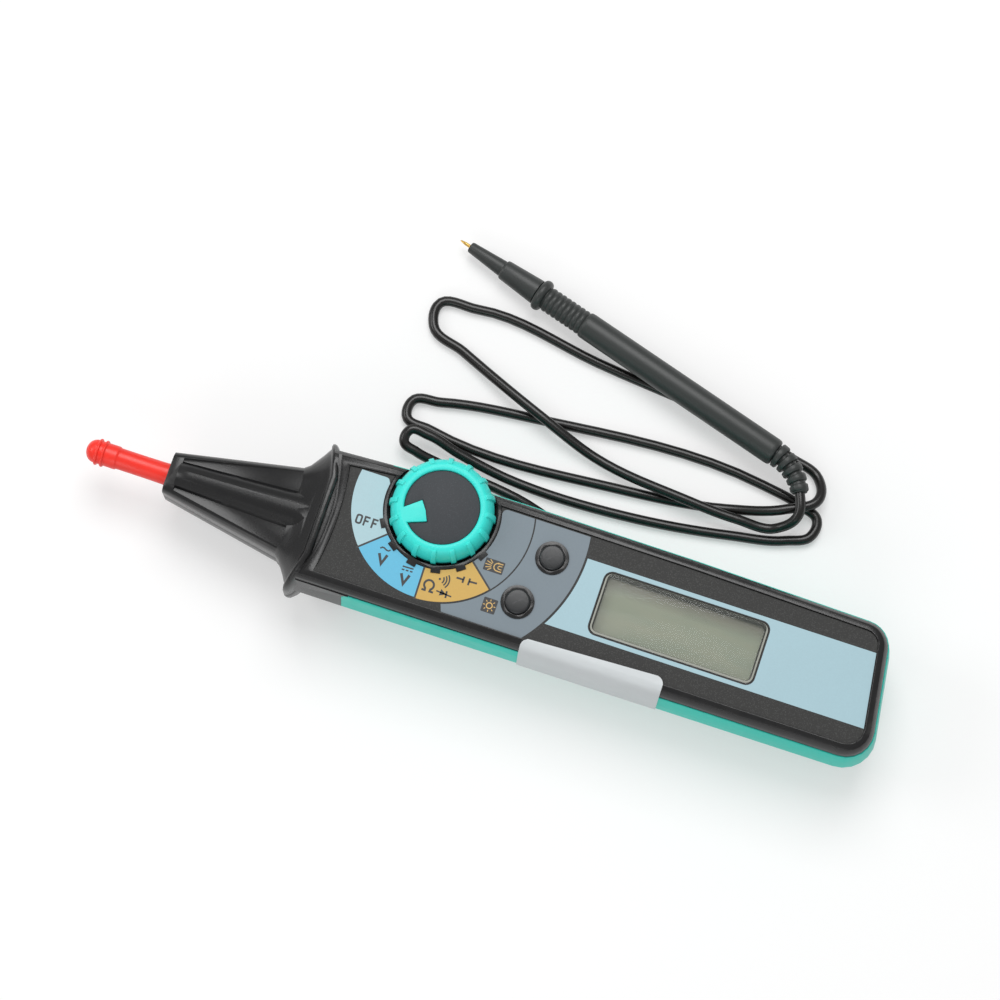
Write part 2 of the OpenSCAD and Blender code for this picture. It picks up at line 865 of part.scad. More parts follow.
module tact_switches()
    color(steel_grey)
        for (b = button_places) {
            bar(b[0] - switch_w / 2, b[0] + switch_w / 2, b[1] - switch_w / 2,
                b[1] + switch_w / 2, board_top, board_top + switch_h);
            post(b[0], b[1], board_top + switch_h - thin,
                 board_top + switch_h + plunger_h, plunger_r);
        }

module buzzer()
    color(case_black)
        post(buzzer_x, window_y, board_z - buzzer_t, board_z, buzzer_r, fine);

// Outside of the knob's ring, from the skirt to the crown, with its angles
function crown(grow, top) =
    [for (a = [0:crown_step:top])
        [crown_r + (knob_r - crown_r) * cos(a) + grow * cos(a),
         knob_top_z - crown_rise * (1 - sin(a)) + grow * sin(a)]];

// Pointer that reaches from the ring across the disc
module wedge(grow)
    rotate(off_angle)
        polygon([[wedge_inner_r - grow, -wedge_inner_w / 2 - grow],
                 [disc_r + rib_sink, -wedge_outer_w / 2 - grow],
                 [disc_r + rib_sink, wedge_outer_w / 2 + grow],
                 [wedge_inner_r - grow, wedge_inner_w / 2 + grow]]);

module knob_ring()
    color(knob_teal) translate([0, knob_y, 0]) {
        rotate_extrude($fn = 2 * fine)
            polygon(concat(
                [[0, seat_z], [disc_r + play, seat_z], [disc_r + play, knob_top_z]],
                [for (i = [90:-crown_step:0]) crown(0, i)[len(crown(0, i)) - 1]],
                [[knob_r, skirt_z], [knob_r - knob_wall, skirt_z],
                 [knob_r - knob_wall, seat_z - web_t], [hub_r, seat_z - web_t],
                 [hub_r, hub_end_z], [0, hub_end_z]]));
        for (i = [0:rib_count - 1])
            rotate(off_angle - rib_angle / 2 + 360 * i / rib_count)
                rotate_extrude(angle = rib_angle, $fn = 2 * fine)
                    polygon(concat([[knob_r - rib_sink, skirt_z], [knob_r + rib_h, skirt_z]],
                                   crown(rib_h, rib_top_angle),
                                   [for (a = [rib_top_angle:-crown_step:0])
                                       crown(-rib_sink, a)[len(crown(-rib_sink, a)) - 1]]));
        translate([0, 0, seat_z - web_t / 2])
            linear_extrude(knob_top_z - seat_z + web_t / 2) wedge(0);
    }

module knob_disc()
    color(disc_grey) translate([0, knob_y, seat_z]) linear_extrude(disc_t)
        difference() {
            circle(r = disc_r, $fn = 2 * fine);
            wedge(wedge_gap);
        }

module switch_rotor()
    color(frame_white) translate([0, knob_y, 0]) difference() {
        post(0, 0, rotor_low_z, rotor_top_z, rotor_r, fine);
        post(0, 0, hub_end_z, rotor_top_z + over, hub_r + play);
        for (a = [0, 180])
            rotate(a) post(ball_ring_r, 0, ball_z - ball_r - spring_l,
                           rotor_top_z + over, ball_r + play);
    }

module wiper_contacts()
    color(brass_gold) translate([0, knob_y, 0])
        for (i = [0:arm_count - 1])
            rotate(360 * i / arm_count) {
                bar(arm_start_r, arm_end_r, -arm_w / 2, arm_w / 2, rotor_low_z - arm_t,
                    rotor_low_z);
                post(arm_end_r - arm_w / 2, 0, board_top + bump_gap,
                     rotor_low_z - arm_t / 2, bump_r);
            }

module detent_balls()
    color(steel_grey) translate([0, knob_y, ball_z])
        for (a = [0, 180])
            rotate(a) translate([ball_ring_r, 0, 0]) sphere(r = ball_r, $fn = medium);

module detent_springs()
    color(steel_grey) translate([0, knob_y, ball_z - ball_r - spring_l])
        for (a = [0, 180])
            rotate(a) translate([ball_ring_r, 0, 0]) difference() {
                cylinder(h = spring_l, r = spring_r, $fn = medium);
                translate([0, 0, -over])
                    cylinder(h = spring_l + 2 * over, r = spring_bore_r, $fn = medium);
            }

// Push button with a flange that keeps it in the case
module push_button(x, y)
    color(case_black) translate([x, y, 0]) rotate_extrude($fn = fine)
        polygon(concat([[0, stem_z], [button_flange_r, stem_z],
                        [button_flange_r, stem_z + button_flange_t],
                        [button_r, stem_z + button_flange_t]],
                       arc_points([button_r - button_edge_r, button_top_z - button_edge_r],
                                  button_edge_r, 0, 90, corner_steps),
                       [[0, button_top_z]]));

module select_button()
    push_button(select_x, select_y);

module hold_button()
    push_button(hold_x, hold_y);

module probe_pin()
    color(steel_grey) translate([-nose_x - pin_out, 0, nose_z])
        turned([[0, needle_tip_r / 2], [pin_point, pin_r],
                [nose_x + pin_out + pin_root_x, pin_r]]);

module pin_contact()
    color(brass_gold) difference() {
        bar(contact_x0, contact_x1, -contact_w / 2, contact_w / 2, contact_low, board_z);
        rod(contact_x0 - over, contact_x1 + over, 0, nose_z, pin_r + play);
    }

// Red cap, drawn from its open end towards its tip
module tip_cap()
    color(cap_red) translate([-nose_x - cap_gap, 0, nose_z]) mirror([1, 0, 0])
        difference() {
            turned(concat(
                [[0, cap_r + cap_flare], [cap_neck_l / 2, cap_r],
                 [cap_neck_l, cap_r], [cap_neck_l, cap_head_r]],
                [for (x = cap_ring_starts)
                    each [[x, cap_head_r], [x + cap_ring_t / 4, cap_ring_r],
                          [x + 3 * cap_ring_t / 4, cap_ring_r],
                          [x + cap_ring_t, cap_head_r]]],
                [for (a = [0:cap_dome_step:90])
                    [cap_dome_start + (cap_l - cap_dome_start) * sin(a),
                     max(thin, cap_head_r * cos(a))]]), fine);
            rod(-over, pin_out - cap_gap + cap_point_room, 0, 0, pin_r + play);
        }

module torch_led()
    color(paper_white) rod(-nose_x, -nose_x + torch_l, 0, torch_z, torch_r);

module battery_holder()
    color(case_black) difference() {
        union() {
            bar(bay_x0, bay_x1, bay_y - bay_half, bay_y + bay_half, holder_low,
                roof_low_z + holder_roof);
            for (x = [bay_x0 + bay_post_r, bay_x1 - bay_post_r])
                for (y = [bay_y - bay_half + bay_post_r, bay_y + bay_half - bay_post_r])
                    post(x, y, roof_low_z, board_z, bay_post_r);
        }
        for (i = [0, 1])
            post(cell_x + cell_pitch * i, bay_y, 0, roof_low_z, cell_r + cell_gap, fine);
    }

module button_cells()
    color(steel_grey)
        for (i = [0, 1])
            post(cell_x + cell_pitch * i, bay_y, cell_z, cell_z + cell_h, cell_r, fine);

module battery_contacts()
    color(brass_gold) {
        for (i = [0, 1]) {
            post(cell_x + cell_pitch * i, bay_y, roof_low_z - contact_t, roof_low_z,
                 contact_r);
            post(cell_x + cell_pitch * i, bay_y, grip_wall + contact_t / 2,
                 cell_z - play, dimple_r);
        }
        bar(cell_x - contact_r, cell_x + cell_pitch + contact_r, bay_y - bridge_w / 2,
            bay_y + bridge_w / 2, grip_wall, grip_wall + contact_t);
    }

module battery_cover()
    color(grip_teal) difference() {
        intersection() {
            lower_form(0);
            bar(cover_x0 + cover_gap, cover_x1 - cover_gap, bay_y - cover_half + cover_gap,
                bay_y + cover_half - cover_gap, -over, belly_z);
        }
        lower_form(grip_wall);
        post(cover_screw_x, bay_y, -over, cover_head_t, head_r + play);
        post(cover_screw_x, bay_y, -over, belly_z, shank_r + play);
    }

module cover_screw()
    color(steel_grey) {
        post(cover_screw_x, bay_y, 0, cover_head_t, head_r);
        post(cover_screw_x, bay_y, cover_head_t - thin, cover_boss_top - over - play,
             shank_r);
    }

module case_screws()
    color(steel_grey)
        for (p = case_screw_places) {
            post(p[0], p[1], p[2], p[2] + head_t, head_r);
            post(p[0], p[1], p[2] + head_t - thin, board_top + screw_grip, shank_r);
        }

// Skin of the case from the belly to the rim, grown by g
module side_form(g)
    hull() {
        for (a = [0:belly_step:2 * belly_step])
            case_slice(belly_z - belly_z * sin(a), belly_inset * (1 - cos(a)) - g);
        case_slice(parting_z, grip_draft - g);
        for (a = [shoulder_step:shoulder_step:90])
            case_slice(parting_z + (rim_z + g - parting_z) * sin(a) - thin,
                       shoulder_inset + shoulder_w * (1 - cos(a)) - g);
    }

module side_label()
    color(paper_white) intersection() {
        difference() {
            side_form(seam + sticker_t);
            side_form(seam);
        }
        translate([0, 0, sticker_low_z]) linear_extrude(knob_top_z)
            polygon([[sticker_x0, -guard_w], [sticker_x1, -guard_w],
                     [sticker_x1, sticker_y1], [sticker_x0, sticker_y0]]);
    }

module lead_grommet()
    color(case_black) exit_rod(grommet_r, grommet_l, 0);

// Point of the lead at share t of span i, kept off the floor
function lead_point(i, t) =
    let (h = lead_reaches[i],
         p = (2 * t * t * t - 3 * t * t + 1) * lead_route[i]
             + (t * t * t - 2 * t * t + t) * h * lead_ways[i]
             + (3 * t * t - 2 * t * t * t) * lead_route[i + 1]
             + (t * t * t - t * t) * h * lead_ways[i + 1])
    [p[0], p[1], max(p[2], lead_d / 2 + lead_lift)];

// Direction of the lead at share t of span i
function lead_way(i, t) =
    let (h = lead_reaches[i],
         v = (6 * t * t - 6 * t) * (lead_route[i] - lead_route[i + 1])
             + (3 * t * t - 4 * t + 1) * h * lead_ways[i]
             + (3 * t * t - 2 * t) * h * lead_ways[i + 1])
    v / norm(v);

// Least gap between two stretches of the lead that lie two spans apart or more
module measure_lead() {
    marks = [for (i = [0:len(lead_chords) - 1]) for (j = [0:lead_checks - 1])
        lead_point(i, j / lead_checks)];
    gap = min([for (i = [0:len(marks) - 1])
        for (j = [i + 2 * lead_checks + 1:1:len(marks) - 1])
            norm(marks[i] - marks[j])]) - lead_d;
    echo(least_gap_of_the_lead_to_itself = gap);
}

// Lead swept along its route, with a flat end at the case and at the probe
module test_lead() {
    measure_lead();
    stations = concat(
        [for (i = [0:len(lead_chords) - 1]) for (j = [0:lead_steps[i] - 1])
            [lead_point(i, j / lead_steps[i]), lead_way(i, j / lead_steps[i])]],
        [[relief_end, -relief_way]]);
    m = len(stations);
    points = [for (s = stations)
        let (side = cross(s[1], [0, 0, 1]) / norm(cross(s[1], [0, 0, 1])),
             up = cross(side, s[1]))
        for (k = [0:lead_sides - 1])
            let (a = 360 * (k + 0.5) / lead_sides)
            s[0] + lead_d / 2 * (cos(a) * side + sin(a) * up)];
    faces = concat(
        [[for (k = [0:lead_sides - 1]) k]],
        [for (i = [0:m - 2]) for (k = [0:lead_sides - 1])
            let (a = i * lead_sides + k, b = i * lead_sides + (k + 1) % lead_sides)
            each [[a, a + lead_sides, b], [b, a + lead_sides, b + lead_sides]]],
        [[for (k = [lead_sides - 1:-1:0]) (m - 1) * lead_sides + k]]);
    color(case_black) polyhedron(points = points, faces = faces);
}

// Probe's own frame: X runs from the needle's tip to the rear end
module probe_frame()
    translate(probe_tip) rotate([0, 0, probe_yaw]) rotate([0, -probe_pitch, 0])
        children();

module probe_strain_relief()
    color(case_black) probe_frame() translate([probe_l, -relief_bend_r, 0]) {
        rotate(90 - relief_angle) rotate_extrude(angle = relief_angle, $fn = 2 * fine)
            translate([relief_bend_r, 0]) circle(r = relief_core_r, $fn = medium);
        for (i = [0:relief_rings - 1]) {
            share = i / relief_rings;
            turn = relief_angle * (share + 1 / relief_rings / 2);
            rotate(-turn) translate([-relief_ring_w / 2, relief_bend_r, 0])
                turned([[0, relief_r0 + (relief_r1 - relief_r0) * share],
                        [relief_ring_w, relief_r0 + (relief_r1 - relief_r0) * share]]);
        }
    }

module lead_probe()
    color(case_black) probe_frame() difference() {
        turned(concat(
            [[guard_start, probe_guard_r - guard_edge],
             [guard_start + guard_edge, probe_guard_r],
             [guard_end - guard_edge, probe_guard_r],
             [guard_end, probe_guard_r - guard_edge], [guard_end, grip_r]],
            [for (i = [0:grip_ring_count - 1])
                let (w = (grip_end - guard_end) / grip_ring_count, x = guard_end + i * w)
                each [[x + w / 3, grip_r], [x + w / 3, grip_r + grip_ring_h],
                      [x + w, grip_r + grip_ring_h], [x + w, grip_r]]],
            [[grip_end + thin, grip_r], [grip_end + guard_edge, barrel_r],
             [probe_l - guard_edge, barrel_r], [probe_l, barrel_r - guard_edge]]), fine);
        rod(guard_start - over, needle_l + play, 0, 0, needle_r + play);
    }

module probe_needle()
    color(brass_gold) probe_frame()
        turned([[0, needle_tip_r / 4], [needle_point, needle_tip_r],
                [needle_step - needle_tip_r, needle_tip_r], [needle_step, needle_r],
                [needle_l, needle_r]]);

module needle_cap()
    color(case_black) probe_frame() difference() {
        turned([[cap_thin_start, cap_thin_r0], [cap_step_at, cap_thin_r1],
                [cap_step_at, cap_thick_r0], [needle_cap_end, cap_thick_r1]]);
        rod(0, needle_step + over, 0, 0, needle_tip_r + play);
        rod(needle_step - needle_tip_r - play, probe_l, 0, 0, needle_r + play);
    }

front_shell();
rear_shell();
rear_grip();
panel_label();
lcd_window();
lcd_glass();
lcd_holder();
lcd_backlight();
zebra_strips();
circuit_board();
board_components();
tact_switches();
buzzer();
knob_ring();
knob_disc();
switch_rotor();
wiper_contacts();
detent_balls();
detent_springs();
select_button();
hold_button();
probe_pin();
pin_contact();
tip_cap();
torch_led();
battery_holder();
button_cells();
battery_contacts();
battery_cover();
cover_screw();
case_screws();
side_label();
lead_grommet();
test_lead();
probe_strain_relief();
lead_probe();
probe_needle();
needle_cap();
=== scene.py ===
# %% [markdown]
# # A pen multimeter, dressed in Blender
# The solids of this pen multimeter come from its CAD model, packed as a fixed frame.
# This lesson gives them the looks of the real thing: soft moulded edges, printed
# zones round the dial, a rubber cap, a coiled lead and its probe. Each cell makes one
# piece or one finish, and the text above it says what that piece is and why it is
# made in this way. All lengths that a maker would say aloud are in millimetres.

# %% Load the frame
import json
from math import acos, atan2, cos, degrees, pi, radians, sin

import bpy
from mathutils import Matrix, Vector

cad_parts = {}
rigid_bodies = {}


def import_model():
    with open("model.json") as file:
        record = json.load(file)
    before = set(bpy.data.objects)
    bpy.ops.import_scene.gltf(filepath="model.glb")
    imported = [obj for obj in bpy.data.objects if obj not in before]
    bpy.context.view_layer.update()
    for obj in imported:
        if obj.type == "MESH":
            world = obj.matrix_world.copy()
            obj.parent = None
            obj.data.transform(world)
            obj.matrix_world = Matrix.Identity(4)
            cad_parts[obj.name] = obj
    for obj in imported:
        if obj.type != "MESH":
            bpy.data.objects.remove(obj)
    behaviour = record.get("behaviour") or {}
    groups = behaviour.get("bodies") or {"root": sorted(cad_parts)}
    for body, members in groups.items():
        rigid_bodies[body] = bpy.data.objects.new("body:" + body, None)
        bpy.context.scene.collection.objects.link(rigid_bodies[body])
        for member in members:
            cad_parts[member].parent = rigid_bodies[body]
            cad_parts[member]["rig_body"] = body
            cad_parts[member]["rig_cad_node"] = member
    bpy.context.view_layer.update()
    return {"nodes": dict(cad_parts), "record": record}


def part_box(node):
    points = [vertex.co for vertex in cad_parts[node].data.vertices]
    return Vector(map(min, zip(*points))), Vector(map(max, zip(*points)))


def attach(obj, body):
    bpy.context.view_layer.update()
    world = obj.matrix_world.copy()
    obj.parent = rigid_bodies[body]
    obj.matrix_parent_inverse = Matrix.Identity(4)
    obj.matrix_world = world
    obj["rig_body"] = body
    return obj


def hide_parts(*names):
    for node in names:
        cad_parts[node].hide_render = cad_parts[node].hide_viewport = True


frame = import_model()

MM = 0.001
scene = bpy.context.scene
scene.view_settings.view_transform = "Standard"

# %% [markdown]
# ## The camera
# The photograph looks down on the table from a little way behind the near edge, with
# a long lens. Its place was worked out from known sizes on the pen, such as the round
# knob and the guard. The camera is turned so that the pen slopes down to the right.

# %% Camera
CAMERA_PLACE = Vector((0.0659, -0.1443, 0.8254))
CAMERA_RIGHT = Vector((0.9483, 0.3173, 0.0)).normalized()
CAMERA_LOOK = Vector((-0.0660, 0.1972, -0.9781)).normalized()
CAMERA_UP = CAMERA_RIGHT.cross(CAMERA_LOOK).normalized()
SENSOR_MM = 36.0
LENS_MM = 124.9

bpy.ops.object.camera_add(location=CAMERA_PLACE)
camera = bpy.context.object
camera.name = "photo_camera"
turn = Matrix((CAMERA_RIGHT, CAMERA_UP, -CAMERA_LOOK)).transposed()
camera.rotation_mode = "QUATERNION"
camera.rotation_quaternion = turn.to_quaternion()
camera.data.sensor_width = SENSOR_MM
camera.data.lens = LENS_MM
camera.data.clip_start, camera.data.clip_end = 0.05, 10.0
scene.camera = camera
print("camera is", round(CAMERA_PLACE.length, 3), "m from the dial")

# %% [markdown]
# ## Selecting by hand, in code
# Every operator acts on what is selected, so each step starts by clearing the
# selection. These short helpers take one object in hand, open it for editing, and
# pick its faces or edges with a test on their place or direction.

# %% Helpers for selecting
def clear_selection():
    if bpy.context.object and bpy.context.object.mode != "OBJECT":
        bpy.ops.object.mode_set(mode="OBJECT")
    bpy.ops.object.select_all(action="DESELECT")


def take(obj):
    clear_selection()
    obj.select_set(True)
    bpy.context.view_layer.objects.active = obj


def edit_all(obj, kind="FACE"):
    take(obj)
    bpy.ops.object.mode_set(mode="EDIT")
    bpy.ops.mesh.select_mode(type=kind)
    bpy.ops.mesh.select_all(action="SELECT")


def pick_faces(obj, test):
    edit_all(obj)
    bpy.ops.mesh.select_all(action="DESELECT")
    bpy.ops.object.mode_set(mode="OBJECT")
    for face in obj.data.polygons:
        face.select = bool(test(face))
    bpy.ops.object.mode_set(mode="EDIT")


def leave_edit():
    bpy.ops.object.mode_set(mode="OBJECT")


# %% [markdown]
# ## Finishing a piece
# A piece is done when its place is in its mesh, its modifiers are applied, its faces
# point outwards and its curved faces shade smoothly. It then rides on the CAD body that
# it moves with, and takes its finish.

# %% Helpers for finishing
WELD_MM = 0.001


def place_in_mesh(obj, matrix=None):
    take(obj)
    if matrix is not None:
        obj.matrix_world = matrix
    bpy.ops.object.transform_apply(location=True, rotation=True, scale=True)


def apply_modifier(obj, kind, **settings):
    take(obj)
    modifier = obj.modifiers.new(kind.lower(), kind)
    for key, value in settings.items():
        setattr(modifier, key, value)
    bpy.ops.object.modifier_apply(modifier=modifier.name)


def soften_edges(obj, width_mm, angle=30):
    apply_modifier(obj, "BEVEL", width=width_mm * MM, segments=2,
                   limit_method="ANGLE", angle_limit=radians(angle),
                   use_clamp_overlap=True)


def smooth(obj, angle):
    take(obj)
    bpy.ops.object.shade_smooth_by_angle(angle=radians(angle))


def face_outwards(obj):
    edit_all(obj)
    bpy.ops.mesh.remove_doubles(threshold=WELD_MM * MM)
    bpy.ops.mesh.normals_make_consistent(inside=False)
    leave_edit()


def hand_over(obj, body, slot, material, *nodes):
    obj.data.materials.clear()
    obj.data.materials.append(material)
    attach(obj, body)
    if nodes:
        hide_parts(*nodes)
    faces = obj.data.polygons if obj.type == "MESH" else ()
    triangles = sum(len(face.vertices) - 2 for face in faces)
    print(f"{obj.name}: {triangles} triangles, on {body}")


# %% [markdown]
# ## Colours
# Colours are noted as they look on a screen, from 0 to 255, and the shaders want
# linear light, so one function turns the first into the second.

# %% Colours
def tone(red, green, blue, alpha=1.0):
    def linear(v):
        v = v / 255
        return v / 12.92 if v <= 0.04045 else ((v + 0.055) / 1.055) ** 2.4
    return (linear(red), linear(green), linear(blue), alpha)


# %% [markdown]
# ## Shared effects as node groups
# Moulded plastic is never one flat colour. The tool leaves a fine grain, the colour
# drifts a little, and handling polishes some places more than others. These effects
# are built once as node groups, and every material sets its own values. A group only
# puts out colours, masks and heights, and the shader itself stays in the material.
# One helper adds a node and feeds its inputs. It finds an input by its label, or by
# its number, such as i0, where two inputs have the same label.

# %% Group builder
def new_group(name, inputs, outputs):
    tree = bpy.data.node_groups.new(name, "ShaderNodeTree")
    for label, kind, value in inputs:
        socket = tree.interface.new_socket(label, in_out="INPUT", socket_type=kind)
        socket.default_value = value
    for label, kind in outputs:
        tree.interface.new_socket(label, in_out="OUTPUT", socket_type=kind)
    return tree, tree.nodes.new("NodeGroupInput"), tree.nodes.new("NodeGroupOutput")


def feed(tree, socket, value):
    if isinstance(value, bpy.types.NodeSocket):
        tree.links.new(value, socket)
    else:
        socket.default_value = value


def add(tree, kind, settings=None, **inputs):
    node = tree.nodes.new(kind)
    for key, value in (settings or {}).items():
        setattr(node, key, value)
    for key, value in inputs.items():
        by_number = key[0] == "i" and key[1:].isdigit()
        socket = node.inputs[int(key[1:]) if by_number else key.replace("_", " ")]
        feed(tree, socket, value)
    return node


def math_node(tree, operation, a, b, clamp=False):
    return add(tree, "ShaderNodeMath", {"operation": operation, "use_clamp": clamp},
               i0=a, i1=b).outputs[0]


def mix_colour(tree, factor, a, b, blend="MIX"):
    node = tree.nodes.new("ShaderNodeMix")
    node.data_type = "RGBA"
    node.blend_type = blend
    for index, value in ((0, factor), (6, a), (7, b)):
        feed(tree, node.inputs[index], value)
    return node.outputs[2]


def ramp(tree, value, low, high, out_low=0.0, out_high=1.0):
    return add(tree, "ShaderNodeMapRange", {"clamp": True}, i0=value, i1=low, i2=high,
               i3=out_low, i4=out_high).outputs[0]


# %% Moulded grain
GRAIN, g_in, g_out = new_group(
    "moulded grain",
    [("Colour", "NodeSocketColor", (0.1, 0.1, 0.1, 1)), ("Drift", "NodeSocketFloat", 0.1),
     ("Grain scale", "NodeSocketFloat", 4000.0), ("Roughness", "NodeSocketFloat", 0.4),
     ("Polish", "NodeSocketFloat", 0.08)],
    [("Colour", "NodeSocketColor"), ("Roughness", "NodeSocketFloat"),
     ("Height", "NodeSocketFloat")])
g_place = add(GRAIN, "ShaderNodeTexCoord").outputs["Object"]
g_fine = add(GRAIN, "ShaderNodeTexNoise", Vector=g_place,
             Scale=g_in.outputs["Grain scale"], Detail=2.0, Roughness=0.6).outputs[0]
g_broad = add(GRAIN, "ShaderNodeTexNoise", Vector=g_place, Scale=90.0,
              Detail=3.0, Roughness=0.55).outputs[0]
g_dark = math_node(GRAIN, "SUBTRACT", 1.0, g_in.outputs["Drift"])
g_light = math_node(GRAIN, "ADD", 1.0, g_in.outputs["Drift"])
g_shade = add(GRAIN, "ShaderNodeMapRange", i0=math_node(
    GRAIN, "ADD", math_node(GRAIN, "MULTIPLY", g_fine, 0.55),
    math_node(GRAIN, "MULTIPLY", g_broad, 0.45)),
    i1=0.3, i2=0.7, i3=g_dark, i4=g_light).outputs[0]
g_hue = add(GRAIN, "ShaderNodeCombineColor", i0=g_shade, i1=g_shade, i2=g_shade).outputs[0]
GRAIN.links.new(mix_colour(GRAIN, 1.0, g_in.outputs["Colour"], g_hue, "MULTIPLY"),
                g_out.inputs["Colour"])
GRAIN.links.new(math_node(GRAIN, "ADD", g_in.outputs["Roughness"], math_node(
    GRAIN, "MULTIPLY", math_node(GRAIN, "SUBTRACT", g_broad, 0.5),
    g_in.outputs["Polish"]), clamp=True), g_out.inputs["Roughness"])
GRAIN.links.new(g_fine, g_out.inputs["Height"])

# %% Rubbed edges
RUB, r_in, r_out = new_group(
    "rubbed edges", [("Amount", "NodeSocketFloat", 0.5)], [("Mask", "NodeSocketFloat")])
r_point = add(RUB, "ShaderNodeNewGeometry").outputs["Pointiness"]
r_patch = add(RUB, "ShaderNodeTexNoise", Vector=add(
    RUB, "ShaderNodeTexCoord").outputs["Object"], Scale=350.0, Detail=3.0).outputs[0]
RUB.links.new(math_node(RUB, "MULTIPLY", math_node(
    RUB, "MULTIPLY", ramp(RUB, r_point, 0.515, 0.60), ramp(RUB, r_patch, 0.35, 0.7)),
    r_in.outputs["Amount"], clamp=True), r_out.inputs["Mask"])

# %% Specks of dust or pigment
SPECKS, s_in, s_out = new_group(
    "specks", [("Scale", "NodeSocketFloat", 1500.0), ("Share", "NodeSocketFloat", 0.3),
               ("Size", "NodeSocketFloat", 0.35)], [("Mask", "NodeSocketFloat")])
s_cells = add(SPECKS, "ShaderNodeTexVoronoi", Vector=add(
    SPECKS, "ShaderNodeTexCoord").outputs["Object"], Scale=s_in.outputs["Scale"])
s_pick = add(SPECKS, "ShaderNodeSeparateColor", i0=s_cells.outputs["Color"]).outputs[0]
s_dot = math_node(SPECKS, "LESS_THAN", s_cells.outputs["Distance"], s_in.outputs["Size"])
s_chosen = math_node(SPECKS, "LESS_THAN", s_pick, s_in.outputs["Share"])
SPECKS.links.new(math_node(SPECKS, "MULTIPLY", s_dot, s_chosen), s_out.inputs["Mask"])
print("node groups:", [g.name for g in bpy.data.node_groups])

# %% [markdown]
# ## A recipe for moulded finishes
# Nearly all of the pen is moulded, so one recipe covers it: a colour with drift and
# grain, edges that wear lighter, a few specks, and a bump from the grain. What is the
# same all over, such as the coat or the IOR, is set on the shader's own sockets.

# %% Recipe for moulded finishes
COAT_ROUGHNESS = 0.12
SCATTER_MM = 1.5


def moulded(name, colour, roughness, grain=3500.0, bump=0.02, drift=0.08, rub=0.0,
            rub_colour=None, speck=None, coat=0.0, specular=0.5, polish=0.08, metal=0.0,
            alpha=1.0, subsurface=0.0, depth=0.1):
    material = bpy.data.materials.new(name)
    material.use_nodes = True
    tree = material.node_tree
    shader = tree.nodes["Principled BSDF"]
    group = add(tree, "ShaderNodeGroup", {"node_tree": GRAIN}, Colour=colour, Drift=drift,
                Grain_scale=grain, Roughness=roughness, Polish=polish)
    paint = group.outputs["Colour"]
    if speck:
        speck_colour, scale, share, size, strength = speck
        dots = add(tree, "ShaderNodeGroup", {"node_tree": SPECKS}, Scale=scale,
                   Share=share, Size=size).outputs[0]
        paint = mix_colour(tree, math_node(tree, "MULTIPLY", dots, strength), paint,
                           speck_colour)
    if rub:
        worn = add(tree, "ShaderNodeGroup", {"node_tree": RUB}, Amount=rub).outputs[0]
        paint = mix_colour(tree, worn, paint, rub_colour or colour)
    tree.links.new(paint, shader.inputs["Base Color"])
    tree.links.new(group.outputs["Roughness"], shader.inputs["Roughness"])
    tree.links.new(add(tree, "ShaderNodeBump", i0=bump, i1=depth * MM,
                       Height=group.outputs["Height"]).outputs[0], shader.inputs["Normal"])
    shader.inputs["Metallic"].default_value = metal
    shader.inputs["Coat Weight"].default_value = coat
    shader.inputs["Coat Roughness"].default_value = COAT_ROUGHNESS
    shader.inputs["Specular IOR Level"].default_value = specular
    shader.inputs["Alpha"].default_value = alpha
    shader.inputs["Subsurface Weight"].default_value = subsurface
    shader.inputs["Subsurface Scale"].default_value = SCATTER_MM * MM
    return material


# %% [markdown]
# ## The finishes of this pen
# The black case is satin with a spark-eroded grain, the grip is a smooth teal that
# catches a soft sheen, and the knob is the same plastic in a brighter mix. The panel
# is a printed sheet with pigment specks, the cap is soft vinyl, and the lead is PVC.

# %% Materials
BLACK_CASE = moulded("case black", tone(20, 20, 21), 0.27, 2600.0, 0.15, 0.10,
                     specular=0.5, rub=0.35, rub_colour=tone(78, 77, 76))
TEAL_GRIP = moulded("grip teal", tone(36, 206, 188), 0.4, 900.0, 0.05, 0.04,
                    specular=0.3, rub=0.2, rub_colour=tone(130, 224, 212))
TEAL_KNOB = moulded("knob teal", tone(58, 230, 219), 0.42, 3000.0, 0.10, 0.04,
                    specular=0.4, rub=0.3, rub_colour=tone(150, 242, 234))
DISC_GREY = moulded("disc grey", tone(59, 62, 66), 0.62, 3200.0, 0.2, 0.08,
                    specular=0.4, speck=(tone(88, 92, 97), 4200.0, 0.25, 0.4, 0.3))
PANEL_DARK = moulded("panel dark", tone(42, 42, 41), 0.55, 3600.0, 0.25, 0.14,
                     specular=0.4, speck=(tone(84, 85, 84), 4400.0, 0.34, 0.45, 0.45))
BUTTON_BLACK = moulded("button black", tone(34, 36, 38), 0.34, 2800.0, 0.1, 0.06,
                       rub=0.3, rub_colour=tone(100, 100, 104))
CAP_RED = moulded("cap red", tone(248, 50, 36), 0.34, 700.0, 0.06, 0.04,
                  rub=0.25, rub_colour=tone(252, 120, 108), subsurface=0.15)
LEAD_BLACK = moulded("lead black", tone(24, 23, 22), 0.27, 1400.0, 0.05, 0.08)
PROBE_BLACK = moulded("probe black", tone(49, 52, 51), 0.42, 2400.0, 0.12, 0.07,
                      rub=0.25, rub_colour=tone(88, 90, 90))
STICKER_WHITE = moulded("sticker white", tone(208, 213, 215), 0.45, 160.0, 0.5, 0.03,
                        depth=0.7)
WINDOW_CLEAR = moulded("window clear", tone(190, 196, 186), 0.08, 300.0, 0.02, 0.02,
                       alpha=0.10, coat=0.5,
                       speck=(tone(235, 238, 230), 260.0, 0.08, 0.06, 0.9))
FRAME_WHITE = moulded("frame white", tone(222, 222, 216), 0.5, 1500.0, 0.1, 0.04)
STRIP_PINK = moulded("strip pink", tone(216, 158, 160), 0.7, 2000.0, 0.1, 0.06)
